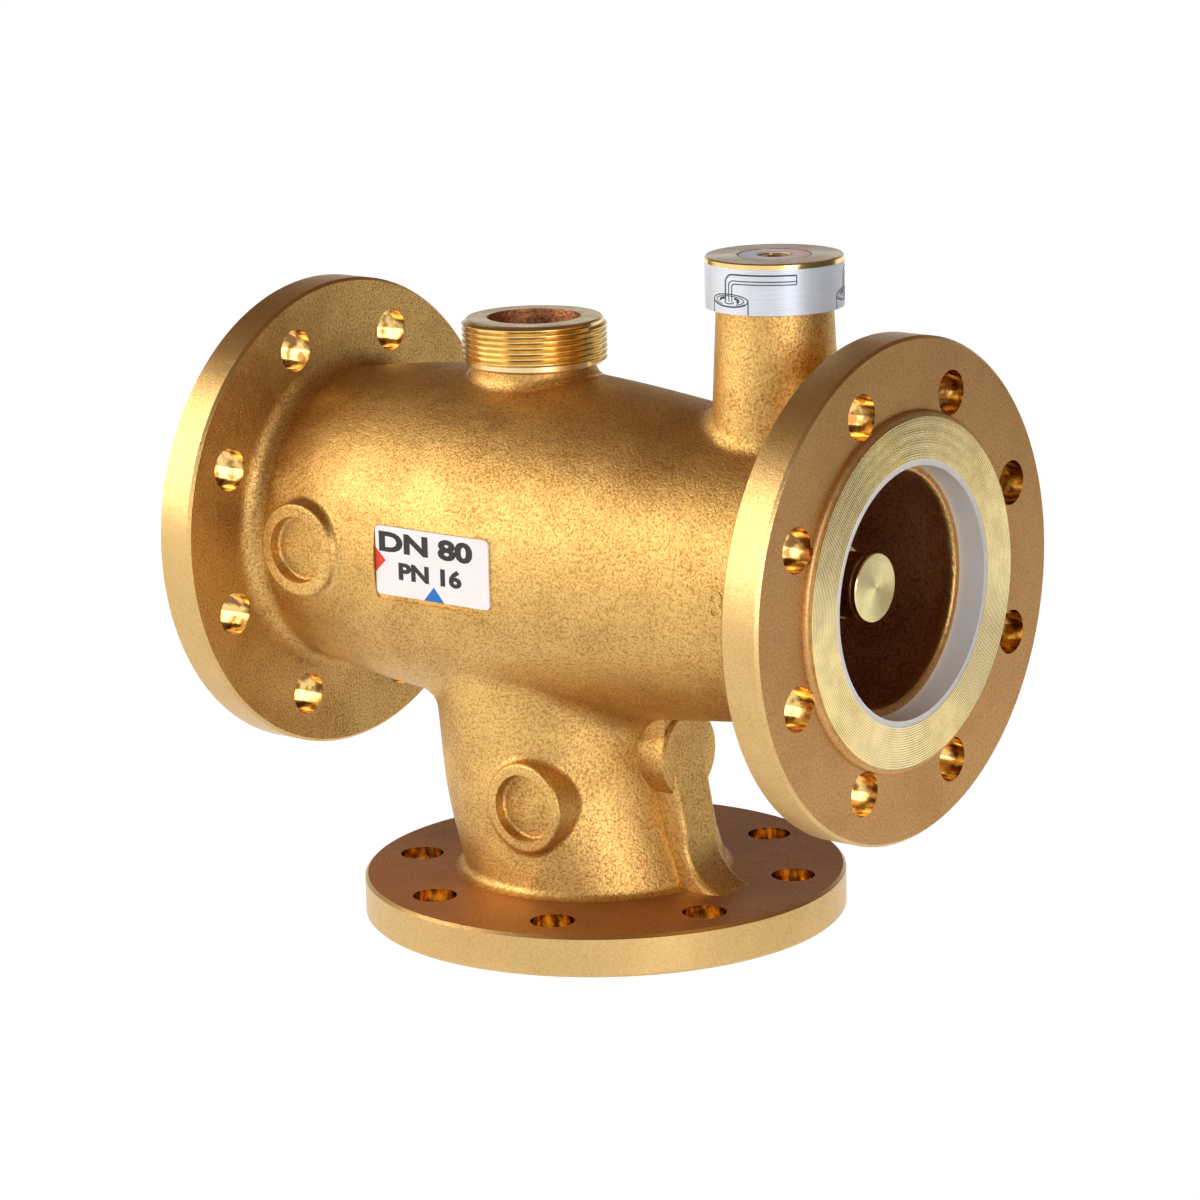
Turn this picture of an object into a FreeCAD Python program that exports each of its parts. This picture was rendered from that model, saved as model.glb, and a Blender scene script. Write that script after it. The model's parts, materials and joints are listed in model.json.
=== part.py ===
"""Three-way mixing valve with temperature control, DN 80, flanged, in cast red bronze.

Hot water comes in at the left flange, cold water at the bottom flange, and mixed water leaves at the
right flange. A sleeve slides in the middle of the barrel and shuts one inlet as it opens the other. A wax
element on the sleeve's hub pushes against a carrier tube, and the spindle in the head moves that tube
through a pinion and a rack.

Units are millimetres. X runs along the barrel towards the outlet, Z is up, and the origin is the centre of the
bottom flange's raised face.
"""

import FreeCAD, Part
import math
import os

V = FreeCAD.Vector

# ---- main lengths of the casting ----
face_to_face = 310.0            # hot inlet face to outlet face
axis_height = 155.0             # bottom flange face to the barrel's axis

# ---- flanges, DN 80 PN 16 ----
flange_r = 100.0
flange_thickness = 17.0         # without the raised face
flange_edge = 1.2               # chamfer round both rims
raised_face_r = 69.0
raised_face_height = 3.0
raised_face_step = 0.5          # from the face down to the cast bead round it
bolt_circle_r = 80.0
bolt_count = 8
bolt_hole_r = 9.0
bore_r = 40.0                   # DN 80 waterway
inlet_bore_length = 14.0
hub_fillet = 8.0                # barrel to flange

# ---- barrel ----
barrel_hot_r = 61.5             # where it leaves the hot flange
barrel_crown_r = 71.2           # at its fattest
barrel_outlet_r = 57.0          # where it meets the outlet flange
crown_x = -28.0
barrel_wall = 8.0
web_corner_r = 5.0              # inner corners of the chambers

# ---- branch to the bottom flange: (height, shift towards the hot side, radius) ----
branch_foot = (20.0, 4.5, 54.0)
branch_low = (38.0, 10.5, 53.8)
branch_waist = (62.0, 16.5, 53.2)
branch_top = (95.0, 20.5, 53.0)
branch_foot_fillet = 4.0
branch_fillet = 12.0            # branch to barrel
passage_low = (30.0, 2.5)       # its hollow: (height, shift)
passage_middle = (70.0, 12.0, 4.0, 3.0)     # (height, shift, narrower along X, wider along Y)
passage_slot_margin = 2.0       # from each web
passage_slot_rise = 12.0        # above the barrel's inner wall

# ---- circulation port on top ----
port_x = -31.0
port_height = 21.8              # above the barrel's crown
port_thread_r = 28.4            # root of a G 2 pipe thread, whose ridge is left off
port_thread_length = 18.5
port_neck_r = 25.0
port_bore_r = 19.3
port_chamfer = 0.8
port_shoulder = 1.5             # cone below the thread
port_fillet = 6.0

# ---- neck of the adjusting head ----
neck_x = 90.2
neck_height = 35.6              # above the barrel's crown
neck_top_r = 23.2
neck_foot_depth = 21.2          # below the barrel's crown, where the neck's foot radius is taken
neck_foot_r = 25.8
neck_bore_r = 15.0
neck_fillet = 8.0

# ---- blanked bosses ----
boss_r = 19.5
boss_recess_r = 14.0
boss_recess_depth = 5.5
boss_edge = 1.5
boss_fillet = 3.0               # boss to casting
hot_boss_x = -102.0             # on the barrel's front, beside the hot flange
hot_boss_proud = 5.0            # of the barrel
cold_boss_x = 1.0               # on the branch's front
cold_boss_proud = 1.7           # of the branch
cold_boss_z = 57.0
cold_boss_r = 18.7
side_boss_reach = 45.0          # from the bottom flange's centre, on the branch's outlet side
side_boss_z = 74.0
side_boss_r = 18.3
side_rib_half_width = 15.0      # rib between the side boss, the branch and the barrel
side_rib_setback = 1.5          # behind the boss's face
side_rib_depth = 6.0            # below the boss's axis
side_pad_half_width = 11.5      # pad from the side boss down to the flange
side_pad_setback = 0.5
side_pad_knee = (5.5, 24.0)     # (outside the boss's face, above the flange)
side_pad_toe = 23.0             # outside the boss's face
side_pad_edge = 3.0

# ---- label pocket ----
label_x = -31.0
label_width = 59.0
label_height = 28.4
label_corner_r = 2.0
label_thickness = 0.8
label_rise = 1.0                # above the barrel's axis
label_depth = 2.8               # pocket floor below the barrel's crown
label_gap = 0.4
label_margin_right = 2.2        # more pocket than plate
label_margin_below = 1.6

# ---- outlet counterbore and its ring ----
outlet_counterbore_r = 52.5
outlet_counterbore_depth = 12.0
outlet_lip_r = 47.0
outlet_lip_width = 4.0
outlet_lip_round = 1.6
outlet_chamber_r = 50.0
outlet_ring_wall = 2.4
outlet_ring_setback = 0.4

# ---- clearances ----
static_fit = 0.05               # radial, between pieces that are pushed together
running_fit = 0.05              # radial, between pieces that slide or turn
seat_gap = 0.3                  # between pieces that meet only when the valve is shut
groove_play = 0.1               # width of a clip's groove beyond the clip

# ---- webs inside the barrel ----
hot_web_x = -72.0
hot_web_width = 20.0
cold_web_x = 14.0
cold_web_width = 22.0
hot_web_bore_r = 40.0
cold_web_bore_r = 46.5
cold_web_step_r = 44.5
cold_web_step = 3.0
hot_chamber_shoulder = 21.0     # from the inlet bore's end to the chamber's full width
outlet_step_r = 52.0            # chamber's corner behind the cold web

# ---- slide ----
slide_r = 35.0
slide_wall = 3.0
slide_length = 94.0
slide_travel = 5.7              # each way from the middle
slide_hub_x = -20.0
slide_hub_width = 8.0
slide_hub_r = 12.0
slide_arm_width = 6.0

# ---- cage ----
cage_collar_r = 43.5
cage_collar_width = 3.0
cage_nose = 4.0                 # beyond the hot web, for the circlip
cage_leg_width = 15.0
cage_leg_inner_r = 36.0
cage_disc_thickness = 7.0
seat_washer_inner_r = 29.0
seat_washer_r = 36.0
seat_washer_thickness = 2.5
seat_washer_proud = 1.0
cold_washer_outset = 2.0        # both radii of the cold washer beyond the hot one's
circlip_thickness = 2.0
circlip_height = 4.0

# ---- O-rings ----
big_ring_section = 2.8
big_groove_width = 3.2
small_ring_section = 1.6
small_groove_width = 2.0
ring_squeeze_gap = 0.05         # left open round each ring
cage_ring_inset = 8.0           # from the hot web's cold side
slide_ring_inset = 4.0          # from the hot web's hot side
cold_ring_inset = 3.5           # from the cold seat's end
spindle_ring_inset = 10.0       # lower ring above the housing's end
spindle_ring_pitch = 8.0

# ---- element ----
element_neck_r = 7.0
element_r = 10.5
element_flange_r = 11.5
element_flange_width = 3.0
element_length = 38.0           # flange and chamber
element_shoulder = 3.0
element_guide_r = 6.5
element_guide_length = 15.0
piston_r = 3.0
piston_bore_start = 8.0
piston_start = 24.0
nut_flats = 22.0
nut_height = 7.0
spring_seat_r = 17.5
spring_seat_thickness = 2.0
return_coil_r = 14.6            # to the middle of the wire
return_wire_r = 1.2
return_turns = 7
spring_pocket = 2.0

# ---- cold seat, bridge and carrier ----
cold_seat_bore_r = 30.0
cold_seat_length = 11.0
bridge_ring_length = 6.0
bridge_ring_inner_r = 38.0
bridge_hub_setback = 14.0       # from the cold web
bridge_hub_length = 22.0
bridge_hub_r = 17.5
bridge_arm_width = 7.0
bush_wall = 1.0
carrier_r = 13.0
carrier_bore_r = 9.5
carrier_inset = 8.0             # its inner end, inside the bridge's hub
carrier_lip = 3.0
carrier_lip_bore_r = 4.0
lock_nut_r = 16.0
lock_nut_setback = 12.6         # from the tube's outer end
lock_nut_width = 7.0
carrier_ring_width = 1.0
cap_r = 13.8
cap_setback = 18.2              # from the outlet flange's face
cap_disc_width = 2.2
cap_neck_r = 12.4
cap_neck_width = 1.0
cap_plug_length = 12.6
plunger_gap = 0.1               # between the stop and the tube's lip
plunger_length = 8.0
plunger_spigot_r = 5.0
plunger_spigot_length = 7.0
overtravel_coil_r = 7.2
overtravel_wire_r = 1.0
overtravel_turns = 9

# ---- pinion and rack ----
tooth_module = 1.0
pinion_teeth = 12
pressure_angle = 20.0
pinion_addendum = 0.9
rack_addendum = 0.7
tooth_backlash = 0.16
pinion_width = 9.0
pinion_gap = 1.5                # above the carrier tube
rack_teeth = 7
rack_back = 4.0

# ---- spindle, housing and head ----
spindle_r = 6.0
spindle_collar_r = 8.5
spindle_collar_height = 5.0
spindle_slot_depth = 1.0
spindle_edge = 0.5
spindle_setback = 0.7           # below the cover's top
hex_socket_flats = 6.0
hex_socket_depth = 7.0
housing_spigot_length = 26.6
head_r = 27.3
band_height = 17.8
band_thickness = 0.3
cover_thickness = 2.3
cover_edge = 0.5
cover_hole_r = 6.4
dial_r = 14.7
dial_recess = 0.5
dial_thickness = 0.4
dial_hole_r = 6.5
gasket_r = 22.0
gasket_thickness = 0.8
head_counterbore_r = 10.0
head_counterbore_depth = 5.0
spindle_circlip_thickness = 1.2
spindle_circlip_r = 8.6

# ---- derived places ----
half_length = face_to_face / 2
flange_back = raised_face_height + flange_thickness
hot_web_end = hot_web_x + hot_web_width
cold_web_end = cold_web_x + cold_web_width
port_top = axis_height + barrel_crown_r + port_height
neck_top = axis_height + barrel_crown_r + neck_height
neck_foot_rise = barrel_crown_r - neck_foot_depth
bead_r = raised_face_height - raised_face_step
label_floor_y = -(barrel_crown_r - label_depth)
seat_opening = slide_travel + seat_gap
cold_washer_x = cold_web_x - 2 * seat_washer_proud
slide_end = cold_washer_x - seat_opening
slide_start = slide_end - slide_length
hot_washer_x = slide_start - seat_opening
disc_x = hot_washer_x - seat_washer_proud
hub_end = slide_hub_x + slide_hub_width
cage_ring_x = hot_web_end - cage_ring_inset
slide_ring_x = hot_web_x + slide_ring_inset
cold_seat_start = cold_washer_x + seat_washer_proud
cold_seat_end = cold_seat_start + cold_seat_length
cold_ring_x = cold_seat_end - cold_ring_inset
cold_washer_inner_r = seat_washer_inner_r + cold_washer_outset
cold_washer_r = seat_washer_r + cold_washer_outset
bridge_stop = cold_seat_end + bridge_ring_length
groove_end = bridge_stop + circlip_thickness + groove_play
groove_r = cold_web_bore_r + circlip_height / 2
bridge_hub_x = cold_web_end + bridge_hub_setback
cap_face_x = half_length - cap_setback
carrier_end = cap_face_x - cap_disc_width - cap_neck_width - carrier_ring_width
carrier_start = bridge_hub_x + carrier_inset
cap_plug_end = carrier_end - cap_plug_length
stop_x = carrier_start + carrier_lip
lock_nut_end = carrier_end - lock_nut_setback
pitch_r = tooth_module * pinion_teeth / 2
pinion_z = axis_height + carrier_r + pinion_gap
band_bottom = neck_top + gasket_thickness
band_top = band_bottom + band_height
cover_top = band_top + cover_thickness
spindle_top = cover_top - spindle_setback
housing_bottom = band_bottom - housing_spigot_length
spindle_ring_low = housing_bottom + spindle_ring_inset
spindle_ring_high = spindle_ring_low + spindle_ring_pitch


def revolve_x(points):
    """Solid turned about the barrel's axis from (x, radius) points."""
    outline = [V(x, 0, axis_height + r) for x, r in points]
    face = Part.Face(Part.makePolygon(outline + outline[:1]))
    return face.revolve(V(0, 0, axis_height), V(1, 0, 0), 360)


def revolve_z(points, x=0.0):
    """Solid turned about an upright axis at x from (z, radius) points."""
    outline = [V(x + r, 0, z) for z, r in points]
    face = Part.Face(Part.makePolygon(outline + outline[:1]))
    return face.revolve(V(x, 0, 0), V(0, 0, 1), 360)


def ring_x(x0, x1, inner, outer):
    """Ring about the barrel's axis."""
    if inner <= 0:
        return Part.makeCylinder(outer, x1 - x0, V(x0, 0, axis_height), V(1, 0, 0))
    return revolve_x([(x0, inner), (x0, outer), (x1, outer), (x1, inner)])


def ring_z(z0, z1, inner, outer, x=neck_x):
    """Ring about an upright axis."""
    if inner <= 0:
        return Part.makeCylinder(outer, z1 - z0, V(x, 0, z0), V(0, 0, 1))
    return revolve_z([(z0, inner), (z0, outer), (z1, outer), (z1, inner)], x)


def o_ring_x(x, middle_r, section):
    """O-ring about the barrel's axis."""
    return Part.makeTorus(middle_r, section / 2, V(x, 0, axis_height), V(1, 0, 0))


def export(name, shape):
    """Write one sub-part."""
    if shape.ShapeType == "Compound" and len(shape.Solids) == 1:
        shape = shape.Solids[0]
    shape.exportStep(os.path.join("parts", name + ".step"))
    print("%-22s solids %d  volume %.1f cm3  valid %s"
          % (name, len(shape.Solids), shape.Volume / 1000, shape.isValid()))


# ---------------------------------------------------------------- casting

def barrel_curve():
    """Outline of the barrel between its two hub fillets."""
    out_back = half_length - flange_back
    hot_back = -out_back
    z = axis_height
    curve = Part.BSplineCurve()
    curve.interpolate([
        V(hot_back + hub_fillet, 0, z + barrel_hot_r + 1.2),
        V((hot_back + crown_x) / 2, 0, z + barrel_crown_r - 2.5),
        V(crown_x, 0, z + barrel_crown_r),
        V((crown_x + neck_x) / 2, 0, z + barrel_crown_r - 4.6),
        V(neck_x, 0, z + (barrel_crown_r + barrel_outlet_r) / 2 - 4.2),
        V(out_back - hub_fillet, 0, z + barrel_outlet_r),
    ])
    return curve


def barrel_outer():
    """Barrel and both of its flanges, turned as one outline."""
    out_back = half_length - flange_back
    hot_back = -out_back
    z = axis_height
    curve = barrel_curve()
    hot_start = curve.StartPoint
    out_end = curve.EndPoint
    k = 1 - math.sqrt(0.5)
    hot_toe = V(hot_back, 0, hot_start.z + hub_fillet)
    out_toe = V(out_back, 0, out_end.z + hub_fillet)
    hot_mid = V(hot_back + hub_fillet * k, 0, hot_start.z + hub_fillet * k)
    out_mid = V(out_back - hub_fillet * k, 0, out_end.z + hub_fillet * k)

    def flange(back, face, sign):
        """Rim of one flange from its back to the axis; sign points out of the valve."""
        return [V(back, 0, z + flange_r - flange_edge), V(back + sign * flange_edge, 0, z + flange_r),
                V(face - sign * (raised_face_height + flange_edge), 0, z + flange_r),
                V(face - sign * raised_face_height, 0, z + flange_r - flange_edge),
                V(face - sign * raised_face_height, 0, z + raised_face_r),
                V(face, 0, z + raised_face_r), V(face, 0, z)]

    out_rim = [out_toe] + flange(out_back, half_length, 1)
    hot_rim = [hot_toe] + flange(hot_back, -half_length, -1)
    edges = [curve.toShape(), Part.Arc(out_end, out_mid, out_toe).toShape(),
             Part.Arc(hot_start, hot_mid, hot_toe).toShape()]
    for rim in (out_rim, hot_rim):
        edges += [Part.LineSegment(a, b).toShape() for a, b in zip(rim, rim[1:])]
    edges.append(Part.LineSegment(hot_rim[-1], out_rim[-1]).toShape())
    face = Part.Face(Part.Wire(Part.__sortEdges__(edges)))
    return face.revolve(V(0, 0, z), V(1, 0, 0), 360)


def circle_wire(x, z, r):
    """Level circle."""
    return Part.Wire(Part.Circle(V(x, 0, z), V(0, 0, 1), r).toShape())


def branch_outer():
    """Branch that leans from the barrel's crown to the bottom flange."""
    sections = [(branch_foot[0] - 6, branch_foot[1] - 1, branch_foot[2]), branch_foot, branch_low,
                branch_waist, branch_top, (axis_height - 15, branch_top[1], branch_top[2])]
    return Part.makeLoft([circle_wire(-shift, z, r) for z, shift, r in sections], True, False)


def bottom_flange():
    """Bottom flange with its raised face."""
    top = flange_back
    return revolve_z([(0, 0), (0, raised_face_r), (raised_face_height, raised_face_r),
                      (raised_face_height, flange_r - flange_edge),
                      (raised_face_height + flange_edge, flange_r),
                      (top - flange_edge, flange_r), (top, flange_r - flange_edge), (top, 0)])


def port_outer():
    """Upright stub of the circulation port, turned to the root of its thread."""
    neck_end = port_top - port_thread_length
    return revolve_z([(axis_height, 0), (axis_height, port_neck_r), (neck_end - port_shoulder, port_neck_r),
                      (neck_end, port_thread_r), (port_top - port_chamfer, port_thread_r),
                      (port_top, port_thread_r - port_chamfer), (port_top, 0)], port_x)


def neck_outer():
    """Tapered neck that carries the adjusting head."""
    slope = (neck_foot_r - neck_top_r) / (neck_height + neck_foot_depth)
    start_r = neck_foot_r + slope * neck_foot_rise
    return revolve_z([(axis_height, 0), (axis_height, start_r), (neck_top, neck_top_r), (neck_top, 0)], neck_x)


def circles_at(shape, centre):
    """Round edges of shape that are centred at a point."""
    rounds = [e for e in shape.Edges if e.Curve.TypeId == "Part::GeomCircle"]
    return [e for e in rounds if (e.Curve.Center - centre).Length < 0.1]


def boss(start, direction, length, radius, recess):
    """Blanked boss from start along direction, with a shallow recess in its face."""
    stub = Part.makeCylinder(radius, length, start, direction)
    face_at = start + direction * length
    stub = stub.makeFillet(boss_edge, circles_at(stub, face_at))
    pocket = None
    if recess:
        floor = start + direction * (length - boss_recess_depth)
        pocket = Part.makeCylinder(boss_recess_r, boss_recess_depth + 1, floor, direction)
        pocket = pocket.makeFillet(boss_edge, circles_at(pocket, floor))
    return stub, pocket


def round_joint(shape, radius, chosen):
    """Fillet the edges of shape for which chosen says yes."""
    edges = [e for e in shape.Edges if chosen(e)]
    return shape.makeFillet(radius, edges)


def edges_within(x0, x1, z0, z1, span_y):
    """Test for edges inside these limits that are at least span_y wide."""
    limits = FreeCAD.BoundBox(x0, -flange_r, z0, x1, flange_r, z1)

    def chosen(edge):
        """Say whether an edge is one of them."""
        return limits.isInside(edge.BoundBox) and edge.BoundBox.YLength > span_y
    return chosen


def foot_edges(x, z, radius, face_reach):
    """Test for the edges where a boss on the front meets the casting."""
    reach = radius + 0.5
    limits = FreeCAD.BoundBox(x - reach, -face_reach + boss_edge + 0.1, z - reach, x + reach, 0, z + reach)

    def chosen(edge):
        """Say whether an edge lies on the boss's side."""
        if not limits.isInside(edge.BoundBox):
            return False
        on_side = [math.hypot(p.x - x, p.z - z) for p in edge.discretize(5)]
        return max(abs(r - radius) for r in on_side) < 0.01
    return chosen


def barrel_radius(x):
    """Outer radius of the barrel at x, by halving."""
    curve = barrel_curve()
    low, high = curve.FirstParameter, curve.LastParameter
    while high - low > 1e-6:
        middle = (low + high) / 2
        if curve.value(middle).x < x:
            low = middle
        else:
            high = middle
    return curve.value(low).z - axis_height


def side_rib():
    """Rib that fills the corner between the side boss, the branch and the barrel."""
    reach = side_boss_reach - side_rib_setback
    low = side_boss_z - side_rib_depth
    height = axis_height - barrel_outlet_r - low
    return Part.makeBox(reach, 2 * side_rib_half_width, height, V(0, -side_rib_half_width, low))


def side_pad():
    """Pad that runs down from the side boss and flares into the bottom flange."""
    low = flange_back - flange_thickness / 2
    top = V(side_boss_reach - side_pad_setback, -side_pad_half_width, side_boss_z)
    knee = V(side_boss_reach + side_pad_knee[0], top.y, flange_back + side_pad_knee[1])
    toe = V(side_boss_reach + side_pad_toe, top.y, flange_back)
    k = 1 - math.sqrt(0.5)
    sag = V(knee.x + k * (toe.x - knee.x), top.y, toe.z + k * (knee.z - toe.z))
    path = [toe, V(toe.x, top.y, low), V(0, top.y, low), V(0, top.y, top.z), top, knee]
    edges = [Part.LineSegment(a, b).toShape() for a, b in zip(path, path[1:])]
    edges.append(Part.Arc(knee, sag, toe).toShape())
    pad = Part.Face(Part.Wire(Part.__sortEdges__(edges))).extrude(V(0, 2 * side_pad_half_width, 0))
    limits = FreeCAD.BoundBox(top.x - 1, -flange_r, flange_back - 1, toe.x + 1, flange_r, top.z + 1)
    long_edges = [e for e in pad.Edges if limits.isInside(e.BoundBox) and e.BoundBox.YLength < 0.01]
    return pad.makeFillet(side_pad_edge, long_edges)


def raised_face_beads():
    """Cast beads round the feet of the three raised faces."""
    shoulder = half_length - raised_face_height
    return [Part.makeTorus(raised_face_r, bead_r, V(shoulder, 0, axis_height), V(1, 0, 0)),
            Part.makeTorus(raised_face_r, bead_r, V(-shoulder, 0, axis_height), V(1, 0, 0)),
            Part.makeTorus(raised_face_r, bead_r, V(0, 0, raised_face_height), V(0, 0, 1))]


def casting_outer():
    """Outside of the casting, with its fillets and without its holes."""
    _, shift, top_r = branch_top
    shell = barrel_outer().fuse(branch_outer()).removeSplitter()
    shell = round_joint(shell, branch_fillet, edges_within(
        -shift - top_r - 3, -shift + top_r + 3, axis_height - barrel_crown_r - 5, axis_height - barrel_crown_r / 2,
        top_r))
    shell = shell.fuse(bottom_flange()).removeSplitter()
    shell = round_joint(shell, branch_foot_fillet, edges_within(
        -raised_face_r, raised_face_r, flange_back - 0.1, flange_back + 0.1, branch_foot[2]))
    shell = shell.fuse([port_outer(), neck_outer()]).removeSplitter()
    low = axis_height + barrel_outlet_r - 15
    reach = neck_foot_r + 3
    shell = round_joint(shell, neck_fillet, edges_within(
        neck_x - reach, neck_x + reach, low, axis_height + barrel_crown_r + 5, neck_foot_r / 2))
    reach = port_neck_r + 3
    neck_end = port_top - port_thread_length
    shell = round_joint(shell, port_fillet, edges_within(
        port_x - reach, port_x + reach, low, neck_end - port_shoulder - 0.1, port_neck_r / 2))
    out = V(0, -1, 0)
    hot_face = barrel_radius(hot_boss_x) + hot_boss_proud
    cold_face = branch_waist[2] + cold_boss_proud
    stub = boss_r + 8
    hot, hot_recess = boss(V(hot_boss_x, stub - hot_face, axis_height), out, stub, boss_r, True)
    cold, cold_recess = boss(V(cold_boss_x, stub - cold_face, cold_boss_z), out, stub, cold_boss_r, True)
    side, _ = boss(V(side_boss_reach - stub, 0, side_boss_z), V(1, 0, 0), stub, side_boss_r, False)
    shell = shell.fuse([side, side_rib(), side_pad()]).removeSplitter()
    shell = shell.fuse([hot, cold]).removeSplitter()
    shell = round_joint(shell, boss_fillet, foot_edges(hot_boss_x, axis_height, boss_r, hot_face))
    shell = round_joint(shell, boss_fillet, foot_edges(cold_boss_x, cold_boss_z, cold_boss_r, cold_face))
    shell = shell.fuse(raised_face_beads())
    return shell.cut([hot_recess, cold_recess])


def ellipse_wire(x, z, half_x, half_y):
    """Level ellipse with its long axis across the barrel."""
    curve = Part.Ellipse(V(x, half_y, z), V(x + half_x, 0, z), V(x, 0, z))
    return Part.Wire(curve.toShape())


def hot_chamber(over):
    """Hollow from the hot inlet to the hot web; over is how far it runs past the face."""
    face = -half_length
    bore_end = face + inlet_bore_length
    shoulder = bore_end + hot_chamber_shoulder
    shoulder_r = barrel_radius(shoulder) - barrel_wall - web_corner_r / 2
    wide_x = hot_web_x - web_corner_r
    wide = barrel_radius(wide_x) - barrel_wall
    return revolve_x([(face - over, 0), (face - over, bore_r), (bore_end, bore_r), (shoulder, shoulder_r),
                      (wide_x, wide), (hot_web_x, wide - web_corner_r), (hot_web_x, 0)])


def cold_chamber():
    """Hollow between the webs."""
    wide = barrel_radius(crown_x) - barrel_wall
    hot_wide = barrel_radius(hot_web_end + web_corner_r) - barrel_wall
    cold_wide = barrel_radius(cold_web_x - web_corner_r) - barrel_wall
    return revolve_x([(hot_web_end, 0), (hot_web_end, hot_wide - web_corner_r),
                      (hot_web_end + web_corner_r, hot_wide), (crown_x, wide),
                      (cold_web_x - web_corner_r, cold_wide), (cold_web_x, cold_wide - web_corner_r),
                      (cold_web_x, 0)])


def outlet_chamber(over):
    """Hollow from the cold web to the outlet, with the counterbore and its lip."""
    lip_end = half_length - outlet_counterbore_depth
    lip_start = lip_end - outlet_lip_width
    wide_x = cold_web_end + web_corner_r
    wide = barrel_radius(wide_x) - barrel_wall
    neck_r = outlet_chamber_r - outlet_lip_round / 2
    hollow = revolve_x([(cold_web_end, 0), (cold_web_end, outlet_step_r), (wide_x, wide), (neck_x, outlet_chamber_r),
                        (lip_start - outlet_lip_width, neck_r), (lip_start, outlet_lip_r),
                        (lip_end, outlet_lip_r), (lip_end, outlet_counterbore_r),
                        (half_length + over, outlet_counterbore_r), (half_length + over, 0)])
    middle = V(lip_end, 0, axis_height)
    lip = [e for e in circles_at(hollow, middle) if abs(e.Curve.Radius - outlet_lip_r) < 0.01]
    return hollow.makeFillet(outlet_lip_round, lip)


def web_bores(over):
    """Machined bores of both webs, with the groove of the bridge's ring."""
    return revolve_x([(hot_web_x - over, 0), (hot_web_x - over, hot_web_bore_r),
                      (hot_web_end + over, hot_web_bore_r), (cold_web_x - over, cold_web_step_r),
                      (cold_web_x + cold_web_step, cold_web_step_r),
                      (cold_web_x + cold_web_step, cold_web_bore_r), (bridge_stop, cold_web_bore_r),
                      (bridge_stop, groove_r), (groove_end, groove_r), (groove_end, cold_web_bore_r),
                      (cold_web_end + over, cold_web_bore_r), (cold_web_end + over, 0)])


def branch_passage():
    """Hollow of the branch, from the inlet's bore to a slot between the webs."""
    slot_x = (hot_web_end + cold_web_x) / 2
    slot_half = (cold_web_x - hot_web_end) / 2 - passage_slot_margin
    slot_z = axis_height - barrel_radius(crown_x) + barrel_wall + passage_slot_rise
    return Part.makeLoft([circle_wire(0, inlet_bore_length, bore_r),
                          circle_wire(-passage_low[1], passage_low[0], bore_r),
                          ellipse_wire(-passage_middle[1], passage_middle[0], bore_r - passage_middle[2],
                                       bore_r + passage_middle[3]),
                          ellipse_wire(slot_x, slot_z, slot_half, bore_r + passage_middle[2])], True, False)


def waterways():
    """All the hollows of the casting as solids."""
    over = 1.0
    port_low = axis_height + barrel_radius(port_x) - barrel_wall - port_fillet / 2
    neck_low = axis_height + outlet_chamber_r - outlet_lip_width
    return [hot_chamber(over), cold_chamber(), outlet_chamber(over), web_bores(over), branch_passage(),
            Part.makeCylinder(bore_r, inlet_bore_length + over, V(0, 0, -over)),
            Part.makeCylinder(port_bore_r, port_top + over - port_low, V(port_x, 0, port_low)),
            Part.makeCylinder(neck_bore_r, neck_top + over - neck_low, V(neck_x, 0, neck_low))]


def bolt_holes():
    """Bolt holes of all three flanges, half a pitch off the middle lines."""
    holes = []
    for k in range(bolt_count):
        angle = math.radians((k + 0.5) * 360 / bolt_count)
        a, b = bolt_circle_r * math.cos(angle), bolt_circle_r * math.sin(angle)
        depth = flange_thickness + 2
        reach = half_length - raised_face_height + 1
        holes.append(Part.makeCylinder(bolt_hole_r, depth, V(a, b, raised_face_height - 1)))
        for x in (-reach, reach - depth):
            holes.append(Part.makeCylinder(bolt_hole_r, depth, V(x, a, axis_height + b), V(1, 0, 0)))
    return holes


def rounded_plate(x, z, width, height, corner, y0, y1):
    """Upright plate with rounded corners between y0 and y1."""
    plate = Part.makeBox(width, y1 - y0, height, V(x - width / 2, y0, z - height / 2))
    return plate.makeFillet(corner, [e for e in plate.Edges if e.BoundBox.YLength > (y1 - y0) / 2
                                     and e.BoundBox.XLength < 0.01 and e.BoundBox.ZLength < 0.01])


def valve_body():
    """The whole casting as machined."""
    pocket = rounded_plate(label_x + label_margin_right / 2, axis_height + label_rise - label_margin_below / 2,
                           label_width + 2 * label_gap + label_margin_right,
                           label_height + 2 * label_gap + label_margin_below,
                           label_corner_r + label_gap, -flange_r, label_floor_y)
    shell = casting_outer()
    for hollow in waterways():
        shell = shell.cut(hollow)
    return shell.cut(bolt_holes() + [pocket])


def front_label():
    """Plate in the pocket on the barrel's front."""
    return rounded_plate(label_x, axis_height + label_rise, label_width, label_height, label_corner_r,
                         label_floor_y - label_thickness, label_floor_y)


def outlet_ring():
    """Plastic ring that lines the outlet's counterbore."""
    outer = outlet_counterbore_r - static_fit
    x0 = half_length - outlet_counterbore_depth
    return ring_x(x0, half_length - outlet_ring_setback, outer - outlet_ring_wall, outer)


# ---------------------------------------------------------------- slide and its cage

def groove_outer_r(wall_r):
    """Floor radius of an O-ring groove cut into an outside of radius wall_r."""
    return wall_r - big_ring_section - 2 * ring_squeeze_gap


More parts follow.
